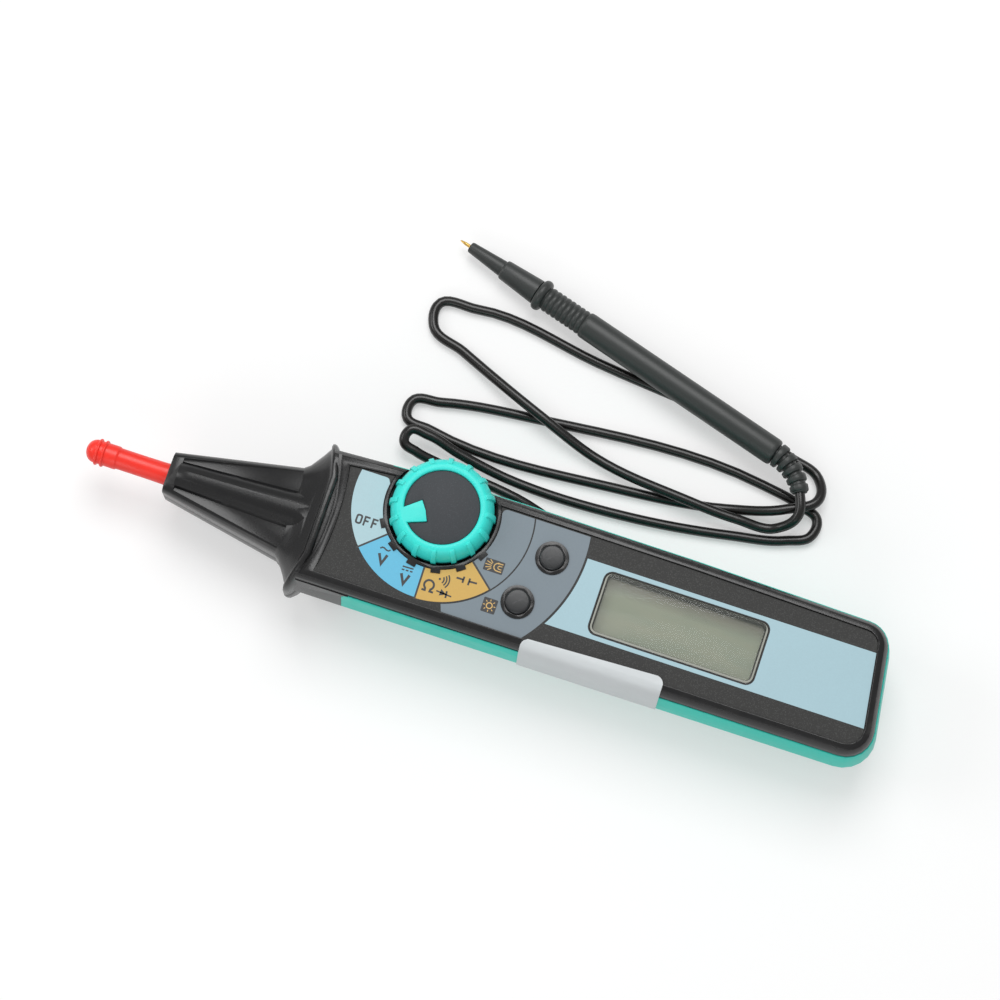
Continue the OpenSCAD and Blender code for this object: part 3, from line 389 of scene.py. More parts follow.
BOARD_GREEN = moulded("board green", tone(46, 112, 74), 0.35, 600.0, 0.05, 0.10, coat=0.3)
CHIP_BLACK = moulded("chip black", tone(38, 38, 40), 0.6, 3000.0, 0.2, 0.10)
GILT = moulded("gilt brass", tone(226, 186, 104), 0.22, 900.0, 0.05, 0.06, metal=1.0)
STEEL = moulded("bright steel", tone(196, 197, 200), 0.25, 1500.0, 0.08, 0.06, metal=1.0)
LAMP_CLEAR = moulded("lamp clear", tone(228, 232, 238), 0.1, 500.0, 0.02, 0.02, coat=0.6)

# %% [markdown]
# ## The display's finish, with painted shade
# A switched-off liquid crystal is a grey green with a faint brown cast and slow streaks in
# the film. Shade is painted on it in a dark brown towards its far edge and its nose end,
# where the case shades it.

# %% Display finish
def display_finish():
    material = bpy.data.materials.new("display glass")
    material.use_nodes = True
    tree = material.node_tree
    shader = tree.nodes["Principled BSDF"]
    low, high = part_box("lcd_window")
    place = add(tree, "ShaderNodeTexCoord").outputs["Object"]
    parts = add(tree, "ShaderNodeSeparateXYZ", i0=place)
    streaks = add(tree, "ShaderNodeTexNoise", Vector=add(
        tree, "ShaderNodeMapping", i0=place, Scale=(60.0, 260.0, 1.0)).outputs[0],
        Scale=1.0, Detail=4.0).outputs[0]
    film = mix_colour(tree, ramp(tree, streaks, 0.35, 0.65), tone(124, 135, 112),
                      tone(136, 141, 117))
    # Painted shade: the film turns dark brown towards the far edge and the nose end of the
    # window, where the case casts its shade.
    far = ramp(tree, parts.outputs[1], high.y - 4.6 * MM, high.y - 1.2 * MM)
    near_nose = ramp(tree, parts.outputs[0], low.x + 3.4 * MM, low.x + 1.0 * MM)
    film = mix_colour(tree, math_node(tree, "MULTIPLY", far, 0.85), film,
                      tone(74, 64, 50))
    film = mix_colour(tree, math_node(tree, "MULTIPLY", near_nose, 0.45), film,
                      tone(88, 84, 70))
    tree.links.new(film, shader.inputs["Base Color"])
    shader.inputs["Roughness"].default_value = 0.25
    return material


DISPLAY = display_finish()

# %% [markdown]
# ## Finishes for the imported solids
# Each solid of the frame first gets the finish that its real piece has. Pieces that
# are modelled afresh below take over from their solid later on.

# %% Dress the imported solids
FINISH_OF_SLOT = {
    "case_black": BLACK_CASE, "grip_teal": TEAL_GRIP, "panel_print": PANEL_DARK,
    "clear_window": WINDOW_CLEAR, "display_glass": DISPLAY, "frame_white": FRAME_WHITE,
    "strip_pink": STRIP_PINK, "board_green": BOARD_GREEN, "chip_black": CHIP_BLACK,
    "knob_teal": TEAL_KNOB, "disc_grey": DISC_GREY, "brass": GILT, "steel": STEEL,
    "button_black": BUTTON_BLACK, "cap_red": CAP_RED, "lamp_clear": LAMP_CLEAR,
    "sticker_white": STICKER_WHITE, "lead_black": LEAD_BLACK, "probe_black": PROBE_BLACK,
}
for part in frame["record"]["subparts"]:
    solid = frame["nodes"][part["node"]]
    solid.data.materials.clear()
    solid.data.materials.append(FINISH_OF_SLOT[part["material_slot"]])
print(len(frame["nodes"]), "solids dressed")

# %% [markdown]
# ## The lead
# The lead is a soft PVC wire, 2.5 mm thick. It leaves the far side of the case under
# the knob, wanders round in long loops and ends in the bent sleeve of its probe. Its
# route is a chain of points, and at each one the wire passes in the direction that
# suits the shorter span more, as a springy wire does. A cubic carries it over each
# span, fine points are taken from it, and none of them sinks into the table.

# %% Route of the lead
LEAD_D = 2.5
EXIT_POINT = Vector((27.5, 18.6, 6.3))
EXIT_YAW, EXIT_DROP, EXIT_RUN = radians(158), radians(14), 4.5
EXIT_WAY = Vector((cos(EXIT_DROP) * cos(EXIT_YAW), cos(EXIT_DROP) * sin(EXIT_YAW),
                   -sin(EXIT_DROP)))
PROBE_TIP = Vector((-19.5, 80.4, 3.2))
PROBE_YAW, PROBE_PITCH, PROBE_L = radians(-17.1), radians(2.3), 94.0
PROBE_PLACE = (Matrix.Translation(PROBE_TIP * MM) @ Matrix.Rotation(PROBE_YAW, 4, "Z")
               @ Matrix.Rotation(-PROBE_PITCH, 4, "Y"))
RELIEF_R, RELIEF_TURN = 13.5, radians(50)
RELIEF_END = PROBE_PLACE @ (Vector((PROBE_L + RELIEF_R * sin(RELIEF_TURN),
                                    -RELIEF_R * (1 - cos(RELIEF_TURN)), 0)) * MM) / MM
RELIEF_WAY = PROBE_PLACE.to_3x3() @ Vector((cos(RELIEF_TURN), -sin(RELIEF_TURN), 0))
LEAD_ROUTE = [EXIT_POINT, EXIT_POINT + EXIT_RUN * EXIT_WAY] + [Vector(p) for p in (
    (17, 22.6, 2.6), (-7, 25.6, 2.2), (-12.6, 26.3, 3.6), (-16.2, 27.7, 4.4),
    (-15.8, 30.6, 4.8), (-11, 31, 4.4), (-3, 29.3, 3), (10, 27.4, 1.3),
    (40, 27.6, 1.3), (66, 31.2, 1.3), (79, 34.2, 1.3), (84.6, 37.3, 1.3),
    (84.8, 41.4, 1.3), (80, 43.6, 1.3), (70, 45.6, 1.3), (14, 44, 1.3),
    (-11, 40.4, 1.3), (-18, 38.3, 1.3), (-18, 34.6, 1.3), (-11.4, 33, 1.3),
    (35, 33.4, 1.3), (63, 37.1, 1.5), (77, 41.1, 4.3), (83.6, 45.8, 3.9),
    (82, 51.4, 1.5), (74, 54.3, 1.3), (22, 62, 1.3), (-10, 65.5, 1.3),
    (-19.8, 63.2, 1.3), (-19, 58.2, 1.3), (-10, 54.2, 1.5), (13.4, 44.1, 4.5),
    (29, 38.9, 2.4), (52, 35.6, 4.5), (66, 35, 3.9), (76, 35.9, 3.8),
    (80, 39.8, 7))] + [RELIEF_END]

# %% The lead as a curve
LEAD_STEPS = 8
LEAD_LIFT = 0.02


def lead_ways():
    spans = [b - a for a, b in zip(LEAD_ROUTE, LEAD_ROUTE[1:])]
    ways = [EXIT_WAY]
    for a, b in zip(spans, spans[1:]):
        ways.append((b.length / a.length * a + a.length / b.length * b).normalized())
    return spans, ways + [-RELIEF_WAY]


def lead_points():
    spans, ways = lead_ways()
    points = []
    for start, end, span, a, b in zip(LEAD_ROUTE, LEAD_ROUTE[1:], spans, ways, ways[1:]):
        reach = span.length / cos(acos(max(-1.0, min(1.0, a.dot(b)))) / 4) ** 2
        for step in range(LEAD_STEPS):
            t = step / LEAD_STEPS
            point = ((2 * t ** 3 - 3 * t * t + 1) * start
                     + (t ** 3 - 2 * t * t + t) * reach * a
                     + (3 * t * t - 2 * t ** 3) * end + (t ** 3 - t * t) * reach * b)
            point.z = max(point.z, LEAD_D / 2 + LEAD_LIFT)
            points.append(point)
    return points + [LEAD_ROUTE[-1]]


def lead_curve():
    points = lead_points()
    clear_selection()
    bpy.ops.curve.primitive_bezier_curve_add(location=(0, 0, 0))
    obj = bpy.context.object
    obj.name = "lead"
    obj.data.dimensions = "3D"
    obj.data.splines.clear()
    spline = obj.data.splines.new("POLY")
    spline.points.add(len(points) - 1)
    for point, place in zip(spline.points, points):
        point.co = (*place * MM, 1.0)
    spline.use_smooth = True
    obj.data.bevel_depth = LEAD_D / 2 * MM
    obj.data.bevel_resolution = 5
    obj.data.use_fill_caps = True
    return obj, spline.calc_length() / MM


lead, lead_length = lead_curve()
hand_over(lead, "meter", "lead_black", LEAD_BLACK, "test_lead")
print("the lead measures", round(lead_length), "mm")

# %% [markdown]
# ## Table and light
# The pen lies on a white sheet under broad soft lamps. The floor glows a little for
# the camera and in reflections, so that it reads as white while it still takes the
# soft shadow. The world is white to the camera, and lights the pen more weakly.

# %% Floor
FLOOR_SIZE, FLOOR_Z = 4.0, -0.02
FLOOR_PAPER, FLOOR_GLOW = (0.60, 0.60, 0.60, 1), 0.40


def floor_finish():
    material = bpy.data.materials.new("white floor")
    material.use_nodes = True
    tree = material.node_tree
    tree.nodes.clear()
    path = add(tree, "ShaderNodeLightPath")
    seen = math_node(tree, "ADD", path.outputs["Is Camera Ray"], math_node(
        tree, "ADD", path.outputs["Is Glossy Ray"], path.outputs["Is Transmission Ray"]),
        clamp=True)
    paper = add(tree, "ShaderNodeBsdfDiffuse", Color=FLOOR_PAPER)
    glow = add(tree, "ShaderNodeEmission", Color=(1, 1, 1, 1),
               Strength=math_node(tree, "MULTIPLY", seen, FLOOR_GLOW))
    both = add(tree, "ShaderNodeAddShader", i0=paper.outputs[0], i1=glow.outputs[0])
    out = tree.nodes.new("ShaderNodeOutputMaterial")
    tree.links.new(both.outputs[0], out.inputs["Surface"])
    return material


clear_selection()
bpy.ops.mesh.primitive_plane_add(size=FLOOR_SIZE, location=(0, 0, FLOOR_Z * MM))
floor = bpy.context.object
floor.name = "floor"
floor.data.materials.append(floor_finish())

# %% World
WORLD_LIGHT, WORLD_SEEN = 0.42, 1.0
world = bpy.data.worlds.new("studio")
scene.world = world
world.use_nodes = True
world_tree = world.node_tree
world_tree.nodes.clear()
w_path = add(world_tree, "ShaderNodeLightPath")
w_level = ramp(world_tree, w_path.outputs["Is Camera Ray"], 0.0, 1.0,
               WORLD_LIGHT, WORLD_SEEN)
w_back = add(world_tree, "ShaderNodeBackground", Color=(1, 1, 1, 1), Strength=w_level)
w_out = world_tree.nodes.new("ShaderNodeOutputWorld")
world_tree.links.new(w_back.outputs[0], w_out.inputs["Surface"])


# %% Lamps
def soft_lamp(name, place, target, size, watts):
    clear_selection()
    bpy.ops.object.light_add(type="AREA", location=place)
    lamp = bpy.context.object
    lamp.name = name
    lamp.data.shape = "SQUARE"
    lamp.data.size = size
    lamp.data.energy = watts
    look = Vector(target) - Vector(place)
    lamp.rotation_mode = "QUATERNION"
    lamp.rotation_quaternion = look.to_track_quat("-Z", "Y")


soft_lamp("overhead_softbox", place=(-0.10, 0.55, 1.05), target=(0.02, 0.03, 0),
          size=0.7, watts=7.6)
soft_lamp("left_softbox", place=(-0.95, -0.05, 0.75), target=(0.0, 0.02, 0),
          size=0.5, watts=2.6)
soft_lamp("front_softbox", place=(0.10, -0.95, 0.52), target=(0.02, 0.0, 0),
          size=0.7, watts=2.5)

# %% [markdown]
# ## The moulded case
# The two black halves carry the hand's guard and the nose. Their shapes are already
# right in the frame, but a real moulding has no razor edges. A copy of each solid is
# merged into one skin, its flat faces are dissolved into clean panels, and every
# sharp edge is rounded by a small bevel that catches the light.

# %% Copy a solid as one skin
SKIN_WELD_MM, FLAT_ANGLE = 0.004, radians(0.4)


def skin_of(node, name):
    take(frame["nodes"][node])
    bpy.ops.object.duplicate()
    obj = bpy.context.object
    obj.name = name
    obj.parent = None
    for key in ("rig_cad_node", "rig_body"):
        if key in obj:
            del obj[key]
    if obj.data.has_custom_normals:
        bpy.ops.mesh.customdata_custom_splitnormals_clear()
    edit_all(obj)
    bpy.ops.mesh.remove_doubles(threshold=SKIN_WELD_MM * MM)
    bpy.ops.mesh.dissolve_limited(angle_limit=FLAT_ANGLE)
    leave_edit()
    return obj


# %% Case, grip and cover
def moulded_skin(node, name, body, slot, material, bevel_mm):
    obj = skin_of(node, name)
    soften_edges(obj, bevel_mm, 33)
    smooth(obj, 40)
    hand_over(obj, body, slot, material, node)


for node, name, slot, material, bevel_mm in (
        ("front_shell", "case_top", "case_black", BLACK_CASE, 0.25),
        ("rear_shell", "case_back", "case_black", BLACK_CASE, 0.2),
        ("rear_grip", "teal_grip", "grip_teal", TEAL_GRIP, 0.25),
        ("battery_cover", "cover_plate", "grip_teal", TEAL_GRIP, 0.12),
        ("lcd_window", "window_pane", "clear_window", WINDOW_CLEAR, 0.3)):
    moulded_skin(node, name, "meter", slot, material, bevel_mm)

# %% [markdown]
# ## Turned pieces
# Caps, rings, keys and barrels are round about one axis, so they are turned as on a
# lathe. A disc is extruded from station to station along the axis, and each new rim is
# scaled to its own radius. A piece that is open right through starts as a bare circle
# and comes back to its first station, where its two rims are merged.

# %% Turned pieces
POLE_R = 0.02


def turned(name, stations, sides=64, through=False):
    clear_selection()
    (place, radius), rest = stations[0], stations[1:]
    bpy.ops.mesh.primitive_circle_add(
        vertices=sides, radius=radius * MM, location=(0, 0, place * MM),
        fill_type="NOTHING" if through else "NGON")
    obj = bpy.context.object
    obj.name = name
    place_in_mesh(obj)
    edit_all(obj, "EDGE" if through else "FACE")
    for next_place, next_radius in rest:
        bpy.ops.mesh.extrude_region_move(
            TRANSFORM_OT_translate={"value": (0, 0, (next_place - place) * MM)})
        scale = next_radius / radius
        bpy.ops.transform.resize(value=(scale, scale, 1),
                                 center_override=(0, 0, next_place * MM))
        place, radius = next_place, next_radius
    leave_edit()
    face_outwards(obj)
    return obj


def round_edge(place, radius, along, across, start, end, steps=5):
    angles = [radians(start + (end - start) * i / steps) for i in range(steps + 1)]
    return [(place + along * sin(a), radius + across * cos(a)) for a in angles]


# %% Prisms and joints between shapes
def prism(name, outline, low, high):
    clear_selection()
    bpy.ops.mesh.primitive_circle_add(vertices=len(outline), radius=MM, fill_type="NGON")
    obj = bpy.context.object
    obj.name = name
    for vertex, (x, y) in zip(obj.data.vertices, outline):
        vertex.co = (x * MM, y * MM, low * MM)
    edit_all(obj)
    bpy.ops.mesh.extrude_region_move(
        TRANSFORM_OT_translate={"value": (0, 0, (high - low) * MM)})
    leave_edit()
    face_outwards(obj)
    return obj


def merge_shapes(obj, other):
    apply_modifier(obj, "BOOLEAN", object=other, operation="UNION", solver="EXACT")
    bpy.data.objects.remove(other)


def join_pieces(name, pieces):
    clear_selection()
    for piece in pieces:
        piece.select_set(True)
    bpy.context.view_layer.objects.active = pieces[0]
    bpy.ops.object.join()
    pieces[0].name = name
    return pieces[0]


# %% [markdown]
# ## The knob
# The selector is a bright teal ring with a rounded crown and sixteen finger ribs. It is
# turned in one go with its hub. The ribs are sectors of its outer faces, pushed out
# along their own directions, so they follow the crown as moulded ribs do. The pointer
# is a wedge that reaches from the ring over the disc, joined to it as one moulding.

# %% Knob ring
DIAL = Vector((0.0, 10.0))
DIAL_PLACE = Matrix.Translation((DIAL.x * MM, DIAL.y * MM, 0))
KNOB_R, CROWN_R, KNOB_TOP, CROWN_RISE, CROWN_STEPS = 12.25, 9.8, 31.0, 4.8, 12
SEAT_Z, SEAT_R, HUB_R = 28.8, 8.93, 2.6
KNOB_SIDES, KNOB_EDGE, POINTER_EDGE = 128, 0.1, 0.18
RIBS, RIB_H, RIB_HALF_ANGLE, RIB_TOP_ANGLE = 16, 0.48, 2.9, 75
RIB_INNER_R, RIB_FOOT_Z = 10.3, 24.3
POINTER_ANGLE = radians(-150)


def crown_point(angle):
    return (KNOB_TOP - CROWN_RISE * (1 - sin(radians(angle))),
            CROWN_R + (KNOB_R - CROWN_R) * cos(radians(angle)))


crown = [crown_point(90 * i / CROWN_STEPS) for i in range(CROWN_STEPS + 1)]
knob = turned("knob_ring_ribbed", [(20.4, HUB_R), (26.6, HUB_R), (26.6, 10.75),
                                   (24.1, 10.75), (24.1, 12.1), (24.25, KNOB_R)] + crown
              + [(KNOB_TOP, 9.4), (30.93, 9.15), (30.75, 8.98), (30.5, SEAT_R),
                 (SEAT_Z, SEAT_R), (SEAT_Z, POLE_R)], KNOB_SIDES)
rib_pitch = 360 / RIBS
rib_centre = degrees(POINTER_ANGLE) % rib_pitch
rib_top = crown_point(RIB_TOP_ANGLE)[0] * MM


def on_a_rib(face):
    c = face.center
    turn = (degrees(atan2(c.y, c.x)) - rib_centre + rib_pitch / 2) % rib_pitch
    outward = face.normal.x * c.x + face.normal.y * c.y
    return (abs(turn - rib_pitch / 2) < RIB_HALF_ANGLE and outward > 0
            and c.xy.length > RIB_INNER_R * MM and RIB_FOOT_Z * MM < c.z < rib_top)


pick_faces(knob, on_a_rib)
bpy.ops.mesh.extrude_region_shrink_fatten(
    TRANSFORM_OT_shrink_fatten={"value": RIB_H * MM})
leave_edit()
rib_reach = max(vertex.co.xy.length for vertex in knob.data.vertices)
print("knob radius over its ribs:", round(rib_reach / MM, 2), "mm")
soften_edges(knob, KNOB_EDGE)

# %% Pointer wedge
wedge = prism("pointer", [(3.95, 0), (4.2, -2.6), (9.5, -1.75), (9.5, 1.75), (4.2, 2.6)],
              SEAT_Z - 0.6, KNOB_TOP - 0.03)
soften_edges(wedge, POINTER_EDGE)
place_in_mesh(wedge, Matrix.Rotation(POINTER_ANGLE, 4, "Z"))
merge_shapes(knob, wedge)
place_in_mesh(knob, DIAL_PLACE)
smooth(knob, 38)
hand_over(knob, "knob", "knob_teal", TEAL_KNOB, "knob_ring")
moulded_skin("knob_disc", "dial_disc", "knob", "disc_grey", DISC_GREY, 0.18)

# %% [markdown]
# ## The keys
# Each push button is a low drum with a rounded edge and a faintly domed top, held in
# the case by a flange that is out of sight.

# %% Keys
KEY_R, KEY_EDGE, KEY_FLANGE_R = 2.95, 0.45, 3.7
SELECT_KEY, HOLD_KEY = (28, 7.5), (23.6, -5)
KEY_STATIONS = ([(22.6, KEY_FLANGE_R), (23.9, KEY_FLANGE_R), (23.9, KEY_R)]
                + round_edge(26.75, KEY_R - KEY_EDGE, KEY_EDGE, KEY_EDGE, 0, 90)
                + [(27.25, 1.7), (27.28, 0.9), (27.3, POLE_R)])
for name, node, body, (x, y) in (
        ("select_key_cap", "select_button", "select_key", SELECT_KEY),
        ("hold_key_cap", "hold_button", "hold_key", HOLD_KEY)):
    key = turned(name, KEY_STATIONS, 48)
    place_in_mesh(key, Matrix.Translation((x * MM, y * MM, 0)))
    smooth(key, 50)
    hand_over(key, body, "button_black", BUTTON_BLACK, node)

# %% [markdown]
# ## The red cap
# The cap on the meter's pin is dipped vinyl: a smooth sleeve, a thicker collar, two
# round beads to pull it by and a domed end. Its blind bore takes the pin.

# %% Red cap
CAP_MOUTH = Vector((-65.7, 0, 13.7))
CAP_R, CAP_HEAD_R, CAP_BORE_R, CAP_BORE_DEPTH = 2.6, 2.85, 1.06, 12.8
BEAD_H, BEAD_HALF = 0.45, 0.4


def bead(start):
    return [(start + BEAD_HALF - BEAD_HALF * cos(radians(a)),
             CAP_HEAD_R + BEAD_H * sin(radians(a))) for a in range(0, 181, 30)]


red_cap = turned("red_pin_cap", [(CAP_BORE_DEPTH, CAP_BORE_R), (0, CAP_BORE_R), (0, 2.5),
                                 (0.12, 2.68), (0.5, 2.72), (1.6, 2.66), (6.5, CAP_R),
                                 (12.9, CAP_R), (13.15, 2.68), (13.3, 2.82),
                                 (13.7, 2.87), (15.9, CAP_HEAD_R)]
                 + bead(16.3) + bead(17.8)
                 + round_edge(18.7, 0.0, 2.5, CAP_HEAD_R, 4, 88, 9))
place_in_mesh(red_cap, Matrix.Translation(CAP_MOUTH * MM)
              @ Matrix.Rotation(-pi / 2, 4, "Y"))
smooth(red_cap, 50)
hand_over(red_cap, "pin_cap", "cap_red", CAP_RED, "tip_cap")

# %% [markdown]
# ## The second probe
# The probe is turned in the same way: a finger guard like a soft ring, eight round
# grip ridges, and a long plain barrel. Its cap has two tapered steps and is open at
# both ends, so the gilt needle shows at the tip.

# %% Probe barrel
ALONG_PROBE = PROBE_PLACE @ Matrix.Rotation(pi / 2, 4, "Y")
RIDGE_START, RIDGE_PITCH, RIDGE_COUNT = 26.15, 1.38, 8
ridges = [(RIDGE_START + RIDGE_PITCH * (i + share), radius)
          for i in range(RIDGE_COUNT)
          for share, radius in ((0.0, 2.88), (0.16, 3.02), (0.38, 3.14), (0.66, 3.14),
                                (0.86, 3.02))]
finger_guard = [(24.65 - 1.1 * cos(radians(a)), 3.2 + 0.85 * sin(radians(a)))
                for a in range(0, 181, 15)]
barrel = turned("probe_barrel", [(34.05, 1.05), (23.5, 1.05), (23.5, 2.9)] + finger_guard
                + [(25.9, 2.86)] + ridges
                + [(37.2, 2.88), (37.45, 3.2), (37.8, 3.36), (38.6, 3.4), (92.8, 3.4),
                   (93.5, 3.32), (93.85, 3.15), (94.0, 2.9)])
place_in_mesh(barrel, ALONG_PROBE)
smooth(barrel, 50)
hand_over(barrel, "meter", "probe_black", PROBE_BLACK, "lead_probe")

# %% Needle and its cap
needle = turned("gilt_needle", [(0.0, 0.06), (0.35, 0.22), (1.5, 0.42), (6.4, 0.5),
                                (6.9, 0.9), (7.1, 1.0), (34.0, 1.0)], 32)
place_in_mesh(needle, ALONG_PROBE)
smooth(needle, 40)
hand_over(needle, "meter", "brass", GILT, "probe_needle")

probe_cap = turned("probe_cap_stepped", [(23.4, 1.06), (6.6, 1.06), (6.6, 0.56),
                                         (3.0, 0.56), (3.0, 1.15), (3.12, 1.32),
                                         (3.45, 1.4), (12.6, 2.06), (12.85, 2.0),
                                         (13.0, 2.05), (13.05, 2.35), (13.2, 2.5),
                                         (13.6, 2.57), (22.9, 3.17), (23.25, 3.14),
                                         (23.4, 2.95), (23.4, 1.06)], 48, through=True)
place_in_mesh(probe_cap, ALONG_PROBE)
smooth(probe_cap, 40)
hand_over(probe_cap, "probe_cap", "probe_black", PROBE_BLACK, "needle_cap")

# %% [markdown]
# ## The bent sleeve
# Where the lead enters the probe, a soft sleeve with thick rings keeps it from
# kinking, and it has taken a bend. It is turned straight, and then each of its points
# is carried round the bend, which keeps every ring square to the lead.

# %% Bent sleeve
SLEEVE_RINGS = 5
SLEEVE_L = RELIEF_R * RELIEF_TURN
SLEEVE_CORE_R, FIRST_RING_R, LAST_RING_R = 1.9, 3.1, 2.1
sleeve_stations = [(0.0, SLEEVE_CORE_R)]
for i in range(SLEEVE_RINGS):
    outer = FIRST_RING_R - (FIRST_RING_R - LAST_RING_R) * i / SLEEVE_RINGS
    start = SLEEVE_L * (i + 0.16) / SLEEVE_RINGS
    sleeve_stations += [(start, SLEEVE_CORE_R), (start + 0.03, outer - 0.2),
                        (start + 0.22, outer), (start + 0.8, outer),
                        (start + 1.4, outer - 0.03), (start + 1.6, outer - 0.2),
                        (start + 1.66, SLEEVE_CORE_R)]
sleeve_stations += [(SLEEVE_L - 0.05, 1.85), (SLEEVE_L, 1.7)]
sleeve = turned("bent_sleeve", sleeve_stations, 40)
for vertex in sleeve.data.vertices:
    side, across, along = vertex.co / MM
    angle = along / RELIEF_R
    vertex.co = Vector((side, across * cos(angle) - RELIEF_R * (1 - cos(angle)),
                        (RELIEF_R + across) * sin(angle))) * MM
place_in_mesh(sleeve, PROBE_PLACE @ Matrix.Translation((PROBE_L * MM, 0, 0))
              @ Matrix.Rotation(pi / 2, 4, "Y"))
smooth(sleeve, 45)
hand_over(sleeve, "meter", "lead_black", PROBE_BLACK, "probe_strain_relief")

# %% [markdown]
# The lead is now complete: a limp lead of 599 mm, as long as the photograph shows it,
# that leaves the case at its exit and ends in the probe with its sleeve, needle and cap.

# %% [markdown]
# ## The sticker
# A blank white sticker is folded over the near edge. The solid already follows the
# shoulder of the case, so a copy is taken and its two upper corners are rounded with a
# few straight cuts each.

# %% Sticker
STICKER_R = 2.0
sticker = skin_of("side_label", "white_sticker")
for centre, side in ((Vector((29.4, -14.6, 0)), -1), (Vector((59.9, -13.3, 0)), 1)):
    for angle in (18, 36, 54, 72):
        way = Vector((side * cos(radians(angle)), sin(radians(angle)), 0))
        edit_all(sticker)
        bpy.ops.mesh.bisect(plane_co=(centre + way * STICKER_R) * MM, plane_no=way,
                            use_fill=True, clear_outer=True)
        leave_edit()
smooth(sticker, 40)
hand_over(sticker, "meter", "sticker_white", STICKER_WHITE, "side_label")

# %% [markdown]
# ## Printing on the panel
# The panel carries flat printed zones round the dial and a pale band round the
# display. Each zone is drawn as a flat curve from arcs about the knob's axis, filled,
# given the thickness of a coat of ink and turned into a mesh. It is drawn in
# millimetres and scaled down last, because very small curves fill badly.

# %% Inks
def ink(name, colour):
    return moulded(name, colour, 0.42, 2600.0, 0.08, 0.035)


PALE_INK = ink("pale ink", tone(169, 200, 208))
BLUE_INK = ink("blue ink", tone(92, 182, 216))
ORANGE_INK = ink("orange ink", tone(204, 164, 78))
GREY_INK = ink("grey ink", tone(116, 129, 138))
BAND_INK = ink("band ink", tone(163, 195, 205))
MARK_INK = ink("mark ink", tone(44, 45, 47))
AMBER_INK = ink("amber ink", tone(212, 174, 104))
# Painted highlight: this pale colour stands for the light caught on the pane's chamfered
# edge.
PANE_HIGHLIGHT_PAINT = ink("pane highlight paint", tone(150, 152, 142))

# %% Printing tools
INK_T = 0.02
PRINT_Z = 26.012


def arc(x, y, radius, start, end, steps=12):
    return [(x + radius * cos(radians(start + (end - start) * i / steps)),
             y + radius * sin(radians(start + (end - start) * i / steps)))
            for i in range(steps + 1)]


def dial_arc(radius, start, end, steps=32):
    return arc(DIAL.x, DIAL.y, radius, start, end, steps)


def rounded_box(x, y, length, width, radius, steps=6):
    corners = ((1, -1, -90), (1, 1, 0), (-1, 1, 90), (-1, -1, 180))
    return [(x + sx * (length / 2 - radius) + radius * cos(radians(a + 90 * i / steps)),
             y + sy * (width / 2 - radius) + radius * sin(radians(a + 90 * i / steps)))
            for sx, sy, a in corners for i in range(steps + 1)]


def printed(name, loops, layer=0):
    clear_selection()
    bpy.ops.curve.primitive_bezier_circle_add(location=(0, 0, 0))
    obj = bpy.context.object
    obj.name = name
    obj.data.dimensions = "2D"
    obj.data.fill_mode = "BOTH"
    obj.data.extrude = INK_T / 2
    obj.data.splines.clear()
    for loop in loops:
        spline = obj.data.splines.new("POLY")
        spline.points.add(len(loop) - 1)
        for point, (x, y) in zip(spline.points, loop):
            point.co = (x, y, 0.0, 1.0)
        spline.use_cyclic_u = True
    bpy.ops.object.convert(target="MESH")
    place_in_mesh(obj, Matrix.Translation((0, 0, (PRINT_Z + layer * INK_T) * MM))
                  @ Matrix.Scale(MM, 4))
    face_outwards(obj)
    return obj


def circle_loop(x, y, radius, sides=32):
    return [(x + radius * cos(2 * pi * i / sides), y + radius * sin(2 * pi * i / sides))
            for i in range(sides)]


# %% Printed zones
ZONE_IN, ZONE_OUT = 14.05, 21.5
OFF_EDGE, VOLT_EDGE, OHM_EDGE = -138.4, -88.9, -40.8
KEY_HOLE_R = 3.9
WINDOW_X, WINDOW_Y, WINDOW_L, WINDOW_W, WINDOW_R = 61.35, 1.1, 40.0, 15.0, 1.8


def window_loop(more_length, more_width, more_radius, shift=0.0):
    return rounded_box(WINDOW_X, WINDOW_Y + shift, WINDOW_L + more_length,
                       WINDOW_W + more_width, WINDOW_R + more_radius)


off_zone = (dial_arc(ZONE_OUT, OFF_EDGE, -189.6)
            + [(-15.1, 13.6), (-14.6, 13.5), (-14.3, 13.25), (-14.15, 12.9)]
            + dial_arc(ZONE_IN, -190, OFF_EDGE))
volt_zone = (dial_arc(ZONE_OUT, VOLT_EDGE, OFF_EDGE)
             + dial_arc(ZONE_IN, OFF_EDGE, VOLT_EDGE))
ohm_zone = (dial_arc(ZONE_OUT + 0.2, OHM_EDGE, VOLT_EDGE)
            + dial_arc(ZONE_IN, VOLT_EDGE, OHM_EDGE))
light_zone = (dial_arc(ZONE_IN, OHM_EDGE, 16)
              + [(13.6, 14.4), (13.8, 14.8), (14.2, 15.1), (14.7, 15.2)]
              + dial_arc(ZONE_OUT + 0.3, 13.8, OHM_EDGE))
key_zone = (dial_arc(35.4, 8.45, -40.2) + [(7.3, -12.85), (6.65, -11.1)]
            + dial_arc(22.15, -72.5, 13.6))
key_holes = [circle_loop(x, y, KEY_HOLE_R) for x, y in (SELECT_KEY, HOLD_KEY)]
band_zone = dial_arc(35.95, -29.8, 0.15) + [(106.85, 10.1), (109.35, -7.85)]

for name, material, loops in (
        ("print_off_zone", PALE_INK, [off_zone]),
        ("print_volt_zone", BLUE_INK, [volt_zone]),
        ("print_ohm_zone", ORANGE_INK, [ohm_zone]),
        ("print_light_zone", GREY_INK, [light_zone]),
        ("print_key_zone", GREY_INK, [key_zone] + key_holes),
        ("print_band", BAND_INK, [band_zone, window_loop(0.9, 0.9, 0.4)])):
    hand_over(printed(name, loops), "meter", "panel_print", material)

